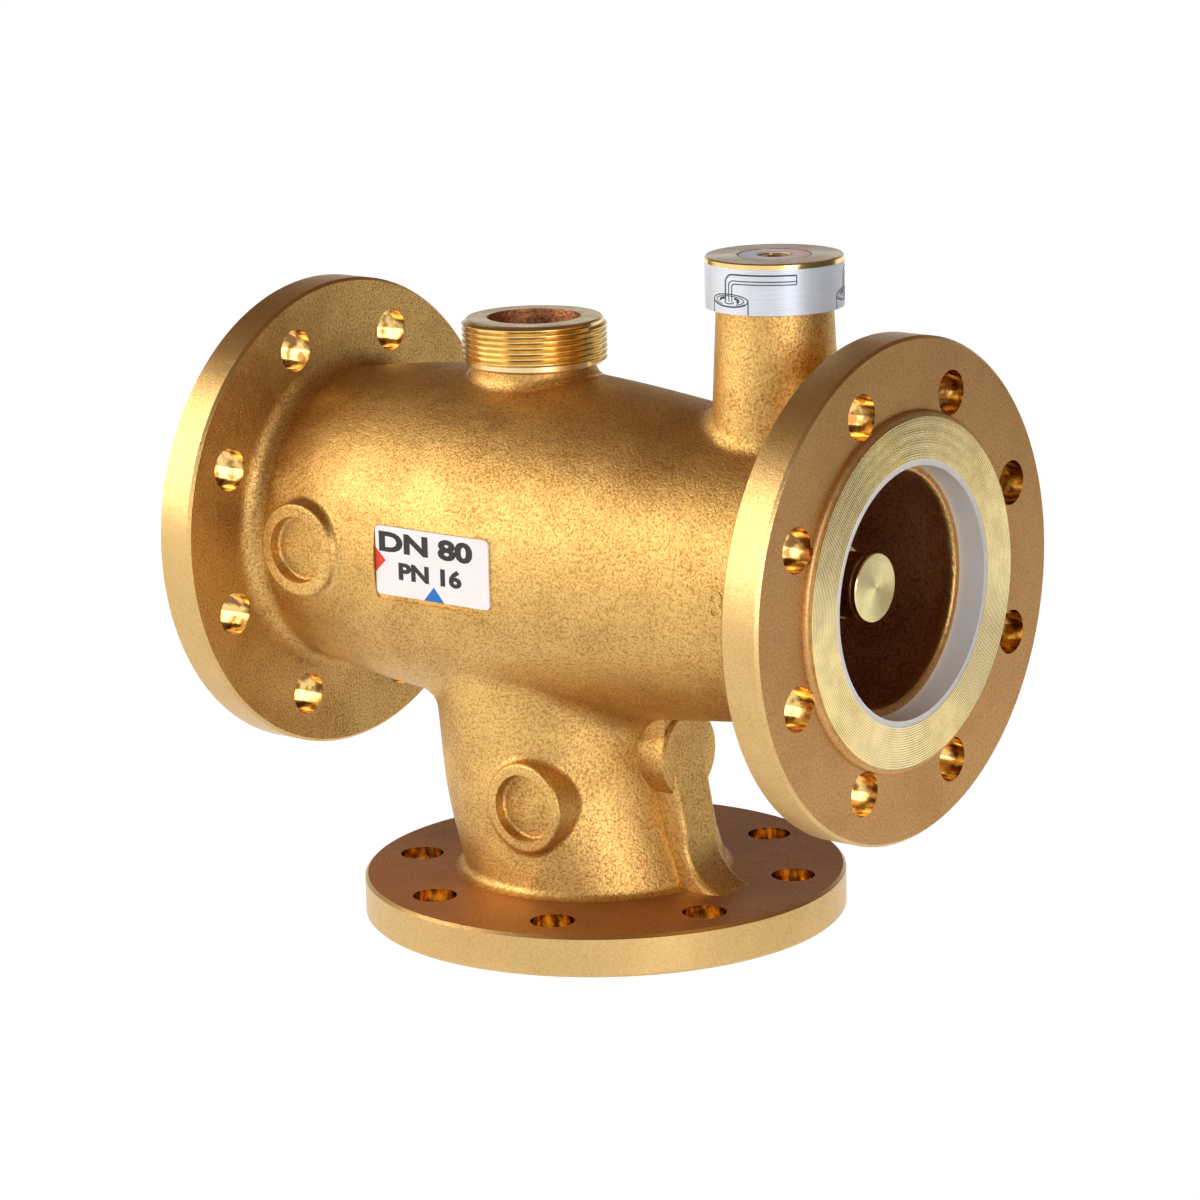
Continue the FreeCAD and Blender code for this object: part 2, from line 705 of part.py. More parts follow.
def hot_cage():
    """Cage: bore that the slide runs in, three legs, and the disc that shuts the slide's hot end."""
    outer = hot_web_bore_r - static_fit
    bore = slide_r + running_fit
    nose = hot_web_x - cage_nose
    slot = circlip_thickness + groove_play
    clip_r = hot_web_bore_r - circlip_height / 2
    ring = revolve_x([(nose, bore), (nose, outer), (hot_web_x - slot, outer), (hot_web_x - slot, clip_r),
                      (hot_web_x, clip_r), (hot_web_x, outer), (hot_web_end, outer),
                      (hot_web_end, cage_collar_r), (hot_web_end + cage_collar_width, cage_collar_r),
                      (hot_web_end + cage_collar_width, bore)])
    x = cage_ring_x - big_groove_width / 2
    ring = ring.cut(ring_x(x, x + big_groove_width, groove_outer_r(outer), outer + 1))
    x = slide_ring_x - big_groove_width / 2
    inner_groove = slide_r + big_ring_section + 2 * ring_squeeze_gap
    ring = ring.cut(ring_x(x, x + big_groove_width, bore - 1, inner_groove))
    sleeve = ring_x(disc_x - cage_disc_thickness / 2, nose + 1, cage_leg_inner_r, outer)
    legs = []
    for k in range(3):
        leg = Part.makeBox(nose - disc_x + cage_disc_thickness, cage_leg_width, outer + 1,
                           V(disc_x - cage_disc_thickness, -cage_leg_width / 2, axis_height))
        leg.rotate(V(0, 0, axis_height), V(1, 0, 0), 60 + 120 * k)
        legs.append(sleeve.common(leg))
    disc = ring_x(disc_x - cage_disc_thickness, disc_x, 0, outer)
    cage = ring.fuse(legs + [disc]).removeSplitter()
    recess = seat_washer_thickness - seat_washer_proud
    cage = cage.cut(ring_x(disc_x - recess, disc_x + 1, seat_washer_inner_r, seat_washer_r))
    return cage.cut(ring_x(disc_x - spring_pocket, disc_x + 1, 0, spring_seat_r))


def hot_seat_washer():
    """Soft washer in the cage's disc."""
    return ring_x(hot_washer_x - seat_washer_thickness, hot_washer_x, seat_washer_inner_r + static_fit,
                  seat_washer_r - static_fit)


def cage_circlip():
    """Circlip round the cage's nose, with its gap."""
    inner = hot_web_bore_r - circlip_height / 2 + ring_squeeze_gap
    clip = ring_x(hot_web_x - circlip_thickness, hot_web_x, inner, inner + circlip_height)
    return clip.cut(Part.makeBox(circlip_thickness + 2, 10, 2 * inner,
                                 V(hot_web_x - circlip_thickness - 1, -5, axis_height - 2 * inner)))


def slide_spool():
    """Sleeve of the slide with its three-armed hub."""
    sleeve = ring_x(slide_start, slide_end, slide_r - slide_wall, slide_r)
    hub = ring_x(slide_hub_x, hub_end, 0, slide_hub_r)
    arms = []
    for k in range(3):
        arm = Part.makeBox(slide_hub_width, slide_arm_width, slide_r - slide_wall / 2,
                           V(slide_hub_x, -slide_arm_width / 2, axis_height))
        arm.rotate(V(0, 0, axis_height), V(1, 0, 0), 120 * k)
        arms.append(arm)
    spool = sleeve.fuse([hub] + arms).removeSplitter()
    return spool.cut(ring_x(slide_hub_x - 1, hub_end + 1, 0, element_neck_r + static_fit))


def wax_element():
    """Thermostat capsule: threaded neck, flange, wax chamber and piston guide."""
    neck_start = slide_hub_x - spring_seat_thickness - nut_height
    flange_end = hub_end + element_flange_width
    chamber_end = hub_end + element_length
    guide_start = chamber_end + element_shoulder
    guide_end = guide_start + element_guide_length
    body = revolve_x([(neck_start, 0), (neck_start, element_neck_r - 0.8), (neck_start + 0.8, element_neck_r),
                      (hub_end, element_neck_r), (hub_end, element_flange_r), (flange_end, element_flange_r),
                      (flange_end, element_r), (chamber_end, element_r), (guide_start, element_guide_r),
                      (guide_end, element_guide_r), (guide_end, 0)])
    return body.cut(ring_x(piston_bore_start, guide_end + 1, 0, piston_r + running_fit))


def hexagon_x(x, length, flats, bore):
    """Hexagon bar along the barrel's axis, with a bore."""
    corner = flats / math.sqrt(3)
    points = [V(x, corner * math.cos(math.radians(60 * k)), axis_height + corner * math.sin(math.radians(60 * k)))
              for k in range(7)]
    bar = Part.Face(Part.makePolygon(points)).extrude(V(length, 0, 0))
    bar = bar.common(ring_x(x, x + length, 0, corner - 0.5))
    return bar.cut(ring_x(x - 1, x + length + 1, 0, bore))


def element_nut():
    """Nut that holds the capsule in the hub."""
    return hexagon_x(slide_hub_x - spring_seat_thickness - nut_height, nut_height, nut_flats,
                     element_neck_r + static_fit)


def spring_seat():
    """Washer between the nut and the hub."""
    return ring_x(slide_hub_x - spring_seat_thickness, slide_hub_x, element_neck_r + static_fit, spring_seat_r)


def coil_x(x0, x1, coil_r, wire_r, turns):
    """Coil spring along the barrel's axis that fills the length from x0 to x1."""
    run = x1 - x0 - 2 * wire_r
    helix = Part.makeHelix(run / turns, run, coil_r)
    wire = Part.Wire(helix)
    ring = Part.Wire(Part.Circle(V(coil_r, 0, 0), V(0, 1, 0), wire_r).toShape())
    spring = wire.makePipeShell([ring], True, True)
    spring.rotate(V(0, 0, 0), V(0, 1, 0), 90)
    spring.translate(V(x0 + wire_r, 0, axis_height))
    return spring


def return_spring():
    """Spring between the cage's disc and the seat on the slide."""
    return coil_x(disc_x - spring_pocket, slide_hub_x - spring_seat_thickness, return_coil_r, return_wire_r,
                  return_turns)


# ---------------------------------------------------------------- cold seat and carrier

def cold_seat_ring():
    """Ring in the cold web that shuts the slide's cold end."""
    outer = cold_web_bore_r - static_fit
    step = cold_web_step_r - static_fit
    seat = revolve_x([(cold_seat_start, cold_seat_bore_r), (cold_seat_start, step),
                      (cold_web_x + cold_web_step, step), (cold_web_x + cold_web_step, outer),
                      (cold_seat_end, outer), (cold_seat_end, cold_seat_bore_r + 4),
                      (cold_seat_end - 4, cold_seat_bore_r)])
    x = cold_ring_x - big_groove_width / 2
    seat = seat.cut(ring_x(x, x + big_groove_width, groove_outer_r(outer), outer + 1))
    recess = seat_washer_thickness - seat_washer_proud
    return seat.cut(ring_x(cold_seat_start - 1, cold_seat_start + recess, cold_washer_inner_r, cold_washer_r))


def cold_seat_washer():
    """Soft washer in the cold seat."""
    return ring_x(cold_washer_x, cold_washer_x + seat_washer_thickness, cold_washer_inner_r + static_fit,
                  cold_washer_r - static_fit)


def guide_bridge():
    """Ring, three slanting arms and the hub that guides the carrier tube."""
    outer = cold_web_bore_r - static_fit
    rim = ring_x(cold_seat_end, bridge_stop, bridge_ring_inner_r, outer)
    hub_stop = bridge_hub_x + bridge_hub_length
    hub = ring_x(bridge_hub_x, hub_stop, 0, bridge_hub_r)
    arm_r = groove_r - circlip_height - 1
    cone = revolve_x([(cold_seat_end, arm_r - 5), (cold_seat_end, arm_r), (bridge_stop, arm_r),
                      (hub_stop - 6, bridge_hub_r - 1), (bridge_hub_x + 2, bridge_hub_r - 1)])
    arms = []
    for k in range(3):
        arm = Part.makeBox(hub_stop - cold_seat_end, bridge_arm_width, outer,
                           V(cold_seat_end, -bridge_arm_width / 2, axis_height))
        arm.rotate(V(0, 0, axis_height), V(1, 0, 0), 60 + 120 * k)
        arms.append(cone.common(arm))
    bridge = rim.fuse([hub] + arms).removeSplitter()
    return bridge.cut(ring_x(bridge_hub_x - 1, hub_stop + 1, 0, carrier_r + running_fit + bush_wall + static_fit))


def guide_bush():
    """Plastic bush in the bridge's hub."""
    inner = carrier_r + running_fit
    return ring_x(bridge_hub_x, bridge_hub_x + bridge_hub_length, inner, inner + bush_wall)


def bridge_ring():
    """Retaining ring in front of the bridge, with its gap."""
    outer = groove_r - ring_squeeze_gap
    clip = ring_x(bridge_stop, bridge_stop + circlip_thickness, outer - circlip_height, outer)
    return clip.cut(Part.makeBox(circlip_thickness + 2, 14, 2 * outer,
                                 V(bridge_stop - 1, -7, axis_height - 2 * outer)))


def rack():
    """Rack that stands on the carrier tube beside the pinion."""
    pitch = math.pi * tooth_module
    slope = math.tan(math.radians(pressure_angle))
    half = (pitch - tooth_backlash) / 4
    tip_y = pitch_r - rack_addendum
    root_y = pitch_r + pinion_addendum + 0.15
    tip_half = half - rack_addendum * slope
    root_half = half + (root_y - pitch_r) * slope
    first = -(rack_teeth - 1) / 2
    length = rack_teeth * pitch
    outline = [V(neck_x - length / 2, root_y, 0)]
    for k in range(rack_teeth):
        x = neck_x + (first + k) * pitch
        outline += [V(x - root_half, root_y, 0), V(x - tip_half, tip_y, 0), V(x + tip_half, tip_y, 0),
                    V(x + root_half, root_y, 0)]
    outline += [V(neck_x + length / 2, root_y, 0), V(neck_x + length / 2, root_y + rack_back, 0),
                V(neck_x - length / 2, root_y + rack_back, 0)]
    width = pinion_width - 2 * seat_gap
    teeth = Part.Face(Part.makePolygon(outline + outline[:1])).extrude(V(0, 0, width))
    teeth.translate(V(0, 0, pinion_z + seat_gap))
    foot_z = axis_height + carrier_r * 0.55
    foot = Part.makeBox(length, rack_back, pinion_z + seat_gap - foot_z, V(neck_x - length / 2, root_y, foot_z))
    return teeth.fuse(foot)


def carrier_tube():
    """Tube that holds the piston's stop, with the rack on it."""
    tube = ring_x(carrier_start, carrier_end, 0, carrier_r)
    tube = tube.fuse(rack()).removeSplitter()
    tube = tube.cut(ring_x(stop_x, carrier_end + 1, 0, carrier_bore_r))
    return tube.cut(ring_x(carrier_start - 1, stop_x + 1, 0, carrier_lip_bore_r))


def carrier_lock_nut():
    """Round nut on the tube with two spanner slots."""
    inner = carrier_r + static_fit / 2
    start = lock_nut_end - lock_nut_width
    nut = revolve_x([(start, inner), (start, lock_nut_r - 0.6), (start + 0.6, lock_nut_r),
                     (lock_nut_end - 0.6, lock_nut_r), (lock_nut_end, lock_nut_r - 0.6), (lock_nut_end, inner)])
    slot = Part.makeBox(lock_nut_width + 2, 4, 2 * lock_nut_r + 2, V(start - 1, -2, axis_height - lock_nut_r - 1))
    return nut.cut(slot.cut(ring_x(start - 2, lock_nut_end + 2, 0, lock_nut_r - 1.4)))


def carrier_ring():
    """Thin bright ring clamped behind the cap."""
    return ring_x(carrier_end, carrier_end + carrier_ring_width, carrier_bore_r + static_fit, carrier_r + 0.6)


def carrier_cap():
    """Turned end of the carrier with the plug that closes its bore."""
    plug_r = carrier_bore_r - static_fit
    neck_start = carrier_end + carrier_ring_width
    disc_start = cap_face_x - cap_disc_width
    return revolve_x([(cap_plug_end, 0), (cap_plug_end, plug_r), (neck_start, plug_r), (neck_start, cap_neck_r),
                      (disc_start, cap_neck_r), (disc_start, cap_r), (cap_face_x - 0.4, cap_r),
                      (cap_face_x, cap_r - 0.4), (cap_face_x, 0)])


def element_piston():
    """Piston between the capsule and its stop."""
    return ring_x(piston_start, stop_x + plunger_gap, 0, piston_r)


def overtravel_plunger():
    """Stop for the piston, held on the tube's lip by the overtravel spring."""
    body_r = carrier_bore_r - running_fit
    start = stop_x + plunger_gap
    shoulder = start + plunger_length
    end = shoulder + plunger_spigot_length
    return revolve_x([(start, 0), (start, body_r), (shoulder, body_r), (shoulder, plunger_spigot_r),
                      (end - 1, plunger_spigot_r), (end, plunger_spigot_r - 1), (end, 0)])


def overtravel_spring():
    """Spring behind the stop."""
    return coil_x(stop_x + plunger_gap + plunger_length, cap_plug_end, overtravel_coil_r, overtravel_wire_r,
                  overtravel_turns)


# ---------------------------------------------------------------- head

def pinion_outline():
    """Points round the pinion, with a tooth gap facing the rack at rest."""
    pitch = math.pi * tooth_module
    base_r = pitch_r * math.cos(math.radians(pressure_angle))
    root_r = pitch_r - rack_addendum - 0.15
    tip_r = pitch_r + pinion_addendum
    half_at_pitch = (pitch - tooth_backlash) / 4 / pitch_r

    def involute(r):
        """Involute angle at radius r."""
        angle = math.acos(min(1.0, base_r / r))
        return math.tan(angle) - angle

    def half_angle(r):
        """Half a tooth's angle at radius r."""
        return half_at_pitch + involute(pitch_r) - involute(max(r, base_r))

    radii = [root_r, base_r, pitch_r, (pitch_r + tip_r) / 2, tip_r]
    points = []
    for k in range(pinion_teeth):
        middle = math.pi / 2 + (k + 0.5) * 2 * math.pi / pinion_teeth
        flank = [(r, -half_angle(r)) for r in radii] + [(r, half_angle(r)) for r in reversed(radii)]
        points += [V(neck_x + r * math.cos(middle + a), r * math.sin(middle + a), 0) for r, a in flank]
    return points


def adjusting_spindle():
    """Spindle with its pinion, collar, grooves and hex socket."""
    points = pinion_outline()
    pinion = Part.Face(Part.makePolygon(points + points[:1])).extrude(V(0, 0, pinion_width))
    pinion.translate(V(0, 0, pinion_z))
    shaft_start = pinion_z + pinion_width
    collar_top = housing_bottom - seat_gap
    collar_low = collar_top - spindle_collar_height
    groove = spindle_r - small_ring_section - ring_squeeze_gap
    profile = [(shaft_start, 0), (shaft_start, spindle_r), (collar_low, spindle_r),
               (collar_low, spindle_collar_r), (collar_top, spindle_collar_r), (collar_top, spindle_r)]
    for z in (spindle_ring_low, spindle_ring_high):
        low, high = z - small_groove_width / 2, z + small_groove_width / 2
        profile += [(low, spindle_r), (low, groove), (high, groove), (high, spindle_r)]
    slot_low = band_top - head_counterbore_depth + groove_play
    slot_high = slot_low + spindle_circlip_thickness + groove_play
    slot_r = spindle_r - spindle_slot_depth
    profile += [(slot_low, spindle_r), (slot_low, slot_r), (slot_high, slot_r), (slot_high, spindle_r),
                (spindle_top - spindle_edge, spindle_r), (spindle_top, spindle_r - spindle_edge),
                (spindle_top, 0)]
    spindle = pinion.fuse(revolve_z(profile, neck_x))
    corner = hex_socket_flats / math.sqrt(3)
    points = [V(neck_x + corner * math.cos(math.radians(60 * k)), corner * math.sin(math.radians(60 * k)),
                spindle_top - hex_socket_depth) for k in range(7)]
    return spindle.cut(Part.Face(Part.makePolygon(points)).extrude(V(0, 0, hex_socket_depth + 1)))


def spindle_housing():
    """Turned head: spigot in the neck, flange over it, and the spindle's bore."""
    bore = spindle_r + running_fit
    spigot_r = neck_bore_r - static_fit
    return revolve_z([(housing_bottom, bore), (housing_bottom, spigot_r - 1), (housing_bottom + 1, spigot_r),
                      (band_bottom, spigot_r), (band_bottom, head_r - band_thickness),
                      (band_top, head_r - band_thickness), (band_top, head_counterbore_r),
                      (band_top - head_counterbore_depth, head_counterbore_r),
                      (band_top - head_counterbore_depth, bore)], neck_x)


def housing_gasket():
    """Flat gasket between the neck and the housing's flange."""
    return ring_z(neck_top, band_bottom, neck_bore_r + 2 * static_fit, gasket_r)


def scale_band():
    """Thin band round the housing."""
    return ring_z(band_bottom, band_top, head_r - band_thickness + static_fit / 2, head_r)


def cover_disc():
    """Turned disc on top of the housing with a recess for the dial label."""
    floor = cover_top - dial_recess
    pocket_r = dial_r + static_fit
    return revolve_z([(band_top, cover_hole_r), (band_top, head_r), (cover_top - cover_edge, head_r),
                      (cover_top, head_r - cover_edge), (cover_top, pocket_r), (floor, pocket_r),
                      (floor, cover_hole_r)], neck_x)


def dial_label():
    """Round label let into the disc."""
    floor = cover_top - dial_recess
    return ring_z(floor, floor + dial_thickness, dial_hole_r, dial_r)


def spindle_o_ring(z):
    """O-ring in one of the spindle's grooves."""
    middle = spindle_r - small_ring_section / 2
    return Part.makeTorus(middle, small_ring_section / 2, V(neck_x, 0, z), V(0, 0, 1))


def spindle_circlip():
    """Circlip above the housing's floor, with its gap."""
    z = band_top - head_counterbore_depth + groove_play * 1.5
    clip = ring_z(z, z + spindle_circlip_thickness, spindle_r - spindle_slot_depth + ring_squeeze_gap,
                  spindle_circlip_r)
    return clip.cut(Part.makeBox(2 * spindle_circlip_r, 3, 4, V(neck_x, -1.5, z - 1)))


def main():
    """Build every sub-part and write it."""
    os.makedirs("parts", exist_ok=True)
    cage_outer = hot_web_bore_r - static_fit
    seat_outer = cold_web_bore_r - static_fit
    half_section = big_ring_section / 2
    parts = {
        "valve_body": valve_body(),
        "outlet_ring": outlet_ring(),
        "front_label": front_label(),
        "hot_cage": hot_cage(),
        "hot_seat_washer": hot_seat_washer(),
        "cage_circlip": cage_circlip(),
        "cage_o_ring": o_ring_x(cage_ring_x, cage_outer - half_section - ring_squeeze_gap, big_ring_section),
        "slide_o_ring": o_ring_x(slide_ring_x, slide_r + half_section + ring_squeeze_gap, big_ring_section),
        "slide_spool": slide_spool(),
        "wax_element": wax_element(),
        "element_nut": element_nut(),
        "spring_seat": spring_seat(),
        "return_spring": return_spring(),
        "cold_seat_ring": cold_seat_ring(),
        "cold_seat_washer": cold_seat_washer(),
        "cold_seat_o_ring": o_ring_x(cold_ring_x, seat_outer - half_section - ring_squeeze_gap, big_ring_section),
        "guide_bridge": guide_bridge(),
        "guide_bush": guide_bush(),
        "bridge_ring": bridge_ring(),
        "carrier_tube": carrier_tube(),
        "carrier_lock_nut": carrier_lock_nut(),
        "carrier_ring": carrier_ring(),
        "carrier_cap": carrier_cap(),
        "element_piston": element_piston(),
        "overtravel_plunger": overtravel_plunger(),
        "overtravel_spring": overtravel_spring(),
        "adjusting_spindle": adjusting_spindle(),
        "spindle_o_ring_lower": spindle_o_ring(spindle_ring_low),
        "spindle_o_ring_upper": spindle_o_ring(spindle_ring_high),
        "spindle_circlip": spindle_circlip(),
        "spindle_housing": spindle_housing(),
        "housing_gasket": housing_gasket(),
        "scale_band": scale_band(),
        "cover_disc": cover_disc(),
        "dial_label": dial_label(),
    }
    for name, shape in parts.items():
        export(name, shape)


main()
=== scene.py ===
"""Looks of a flanged mixing valve in cast red bronze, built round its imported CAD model."""

import json
import logging
import math
from dataclasses import dataclass, field
from enum import Enum
from functools import partial
from typing import Callable, Sequence

import bmesh
import bpy
from bpy.types import Material, Mesh, Node, NodeSocket, NodeTree, Object
from mathutils import Matrix, Vector
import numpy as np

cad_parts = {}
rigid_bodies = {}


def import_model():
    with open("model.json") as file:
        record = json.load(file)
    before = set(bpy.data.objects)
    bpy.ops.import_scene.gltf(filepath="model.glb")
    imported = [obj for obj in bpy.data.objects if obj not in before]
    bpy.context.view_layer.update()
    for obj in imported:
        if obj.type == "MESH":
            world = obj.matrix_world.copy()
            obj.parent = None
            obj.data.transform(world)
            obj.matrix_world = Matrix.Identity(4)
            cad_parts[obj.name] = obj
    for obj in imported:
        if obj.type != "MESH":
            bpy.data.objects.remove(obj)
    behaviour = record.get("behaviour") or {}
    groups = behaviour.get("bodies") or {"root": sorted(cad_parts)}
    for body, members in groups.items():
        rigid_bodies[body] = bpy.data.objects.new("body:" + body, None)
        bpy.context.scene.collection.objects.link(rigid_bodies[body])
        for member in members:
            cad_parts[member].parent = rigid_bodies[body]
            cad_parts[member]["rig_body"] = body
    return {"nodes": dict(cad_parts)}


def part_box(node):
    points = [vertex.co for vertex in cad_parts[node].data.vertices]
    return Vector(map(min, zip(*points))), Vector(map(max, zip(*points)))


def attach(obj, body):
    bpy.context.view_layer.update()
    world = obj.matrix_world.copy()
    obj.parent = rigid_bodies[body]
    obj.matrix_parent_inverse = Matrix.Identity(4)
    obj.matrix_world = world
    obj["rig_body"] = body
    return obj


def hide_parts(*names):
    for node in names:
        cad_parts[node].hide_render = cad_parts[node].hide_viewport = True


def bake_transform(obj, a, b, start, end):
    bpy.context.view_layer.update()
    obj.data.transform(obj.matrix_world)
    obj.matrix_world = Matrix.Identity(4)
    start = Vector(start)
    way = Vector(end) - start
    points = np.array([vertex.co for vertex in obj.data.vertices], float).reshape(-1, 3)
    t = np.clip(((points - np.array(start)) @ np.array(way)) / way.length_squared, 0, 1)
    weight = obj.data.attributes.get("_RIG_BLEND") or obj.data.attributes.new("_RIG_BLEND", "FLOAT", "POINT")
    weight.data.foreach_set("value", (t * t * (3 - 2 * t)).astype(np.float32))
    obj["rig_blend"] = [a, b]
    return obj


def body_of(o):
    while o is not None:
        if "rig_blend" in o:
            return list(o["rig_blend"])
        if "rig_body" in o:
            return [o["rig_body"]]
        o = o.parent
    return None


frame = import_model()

log = logging.getLogger("mixing_valve")
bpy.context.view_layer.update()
MM = 0.001
WHITE = (1.0, 1.0, 1.0, 1.0)
BLEND = {"data_type": "RGBA"}
SHADE = {"data_type": "RGBA", "blend_type": "MULTIPLY"}
CLAMPED_SUM = {"operation": "ADD", "use_clamp": True}

Flat = tuple[float, float]
Point = tuple[float, float, float]
Placer = Callable[[float, float, float], Vector]
Adder = Callable[..., Node]


def linear(code: str, alpha: float = 1.0) -> tuple[float, float, float, float]:
    """Turn an sRGB hex colour such as "#C89A45" into linear red, green and blue, with alpha."""
    parts = [int(code[i:i + 2], 16) / 255 for i in (1, 3, 5)]
    return (*(c / 12.92 if c <= 0.04045 else ((c + 0.055) / 1.055) ** 2.4 for c in parts), alpha)


def add_node(tree: NodeTree, kind: str, settings: dict | None = None, **inputs: object) -> Node:
    """Add one node with its settings, values and links.

    Args:
        tree: node tree that gets the node.
        kind: Blender's name of the node type, where a shader node's goes without ShaderNode.
        settings: attributes to set on the node.
        inputs: values by socket name with _ for a space, or in1, in2 for a place; a socket makes a
            link, and a node links its first output.

    Returns:
        The new node.
    """
    node = tree.nodes.new(kind if "Node" in kind else "ShaderNode" + kind)
    for name, value in (settings or {}).items():
        setattr(node, name, value)
    for name, value in inputs.items():
        place = int(name[2:]) if name[:2] == "in" and name[2:].isdigit() else name.replace("_", " ")
        socket = node.inputs[place]
        if isinstance(value, (Node, NodeSocket)):
            tree.links.new(value.outputs[0] if isinstance(value, Node) else value, socket)
        else:
            socket.default_value = value
    return node


# ---- finishes

class Axis(Enum):
    """Axis that turning marks run round, by the share of a place's X, Y and Z that lies across it."""

    BARREL = (0.0, 1.0, 1.0)
    UPRIGHT = (1.0, 1.0, 0.0)


def new_material(name: str) -> tuple[Material, Adder, NodeSocket]:
    """Start an empty material.

    Args:
        name: its name.

    Returns:
        The material, what adds a node to it, and the socket with the place on the piece in metres.
    """
    material = bpy.data.materials.new(name)
    material.use_nodes = True
    material.node_tree.nodes.clear()
    add = partial(add_node, material.node_tree)
    return material, add, add("TexCoord").outputs["Object"]


@dataclass(frozen=True)
class CastBronze:
    """Sand-cast, shot-blasted bronze: satin metal with a sandy grain, soft waves and darker pits."""

    name: str
    colour: str
    pit_colour: str
    roughness: float = 0.42
    grain: float = 1.0 * MM
    grain_depth: float = 0.16 * MM
    wave: float = 7.0 * MM
    wave_depth: float = 0.5 * MM
    patina: float = 32.0 * MM
    pit_share: float = 0.45
    patina_share: float = 0.55

    def material(self) -> Material:
        """Build the material.

        Returns:
            The new material.
        """
        material, add, place = new_material(self.name)
        grain = add("TexNoise", Vector=place, Scale=1 / self.grain, Detail=3.0, Roughness=0.62)
        wave = add("TexNoise", Vector=place, Scale=1 / self.wave, Detail=2.0, Roughness=0.5)
        patina = add("TexNoise", Vector=place, Scale=1 / self.patina, Detail=4.0, Roughness=0.6)
        pits = add("MapRange", Value=grain, From_Min=0.34, From_Max=0.56, To_Min=self.pit_share, To_Max=0.0)
        cloud = add("MapRange", Value=patina, From_Min=0.42, From_Max=0.7, To_Min=0.0,
                    To_Max=self.pit_share * self.patina_share)
        share = add("Math", CLAMPED_SUM, in0=pits, in1=cloud)
        colour = add("Mix", BLEND, in0=share, in6=linear(self.colour), in7=linear(self.pit_colour))
        rough = add("MapRange", Value=grain, From_Min=0.3, From_Max=0.7, To_Min=self.roughness + 0.08,
                    To_Max=self.roughness - 0.05)
        soft = add("Bump", Height=wave, Distance=self.wave_depth, Strength=0.6)
        sand = add("Bump", Height=grain, Distance=self.grain_depth, Strength=0.8, Normal=soft)
        shader = add("BsdfPrincipled", Base_Color=colour.outputs[2], Metallic=1.0, Roughness=rough,
                     Normal=sand)
        add("OutputMaterial", Surface=shader)
        return material


@dataclass(frozen=True)
class TurnedMetal:
    """Lathe-turned metal: bright, with fine rings that pull the highlights into fans."""

    name: str
    colour: str
    axis: Axis
    centre: Vector
    roughness: float = 0.24
    pitch: float = 0.35 * MM
    depth: float = 0.008 * MM
    mottling: float = 0.12
    mottle: float = 9.0 * MM

    def material(self) -> Material:
        """Build the material.

        Returns:
            The new material.
        """
        material, add, place = new_material(self.name)
        moved = add("VectorMath", {"operation": "SUBTRACT"}, in0=place, in1=tuple(self.centre))
        across = add("VectorMath", {"operation": "MULTIPLY"}, in0=moved, in1=self.axis.value)
        radius = add("VectorMath", {"operation": "LENGTH"}, in0=across).outputs["Value"]
        turns = add("Math", {"operation": "MULTIPLY"}, in0=radius, in1=2 * math.pi / self.pitch)
        ridge = add("Math", {"operation": "SINE"}, in0=turns)
        cloud = add("TexNoise", Vector=place, Scale=1 / self.mottle, Detail=3.0)
        shade = add("MapRange", Value=cloud, From_Min=0.35, From_Max=0.7, To_Min=1.0,
                    To_Max=1.0 - self.mottling)
        colour = add("Mix", SHADE, in0=1.0, in6=linear(self.colour), in7=shade)
        rough = add("MapRange", Value=cloud, From_Min=0.3, From_Max=0.7, To_Min=self.roughness - 0.04,
                    To_Max=self.roughness + 0.06)
        rings = add("Bump", Height=ridge, Distance=self.depth, Strength=0.7)
        shader = add("BsdfPrincipled", Base_Color=colour.outputs[2], Metallic=1.0, Roughness=rough,
                     Normal=rings)
        add("OutputMaterial", Surface=shader)
        return material


@dataclass(frozen=True)
class DrilledBronze:
    """Drilled bolt hole: bright metal with uneven dark and light bands along the hole."""

    name: str
    colour: str
    band_colour: str
    roughness: float = 0.16
    band: float = 5.0 * MM
    score_depth: float = 0.25 * MM

    def material(self) -> Material:
        """Build the material.

        Returns:
            The new material.
        """
        material, add, place = new_material(self.name)
        bands = add("TexNoise", Vector=place, Scale=1 / self.band, Detail=2.0, Roughness=0.4)
        share = add("MapRange", Value=bands, From_Min=0.44, From_Max=0.6, To_Min=0.0, To_Max=0.85)
        colour = add("Mix", BLEND, in0=share, in6=linear(self.colour), in7=linear(self.band_colour))
        scores = add("Bump", Height=bands, Distance=self.score_depth, Strength=0.5)
        shader = add("BsdfPrincipled", Base_Color=colour.outputs[2], Metallic=1.0, Roughness=self.roughness,
                     Normal=scores)
        add("OutputMaterial", Surface=shader)
        return material


@dataclass(frozen=True)
class PaintedFilm:
    """Printed or moulded plastic film: even colour, slight sheen, a very fine pebble."""

    name: str
    colour: str
    roughness: float = 0.35
    pebble: float = 0.6 * MM
    pebble_depth: float = 0.01 * MM
    cloud: float = 14.0 * MM

    def material(self) -> Material:
        """Build the material.

        Returns:
            The new material.
        """
        material, add, place = new_material(self.name)
        pebble = add("TexNoise", Vector=place, Scale=1 / self.pebble, Detail=2.0)
        cloud = add("TexNoise", Vector=place, Scale=1 / self.cloud, Detail=3.0)
        shade = add("MapRange", Value=cloud, From_Min=0.3, From_Max=0.75, To_Min=1.0, To_Max=0.94)
        colour = add("Mix", SHADE, in0=1.0, in6=linear(self.colour), in7=shade)
        skin = add("Bump", Height=pebble, Distance=self.pebble_depth, Strength=0.5)
        shader = add("BsdfPrincipled", Base_Color=colour.outputs[2], Roughness=self.roughness, Normal=skin)
        add("OutputMaterial", Surface=shader)
        return material


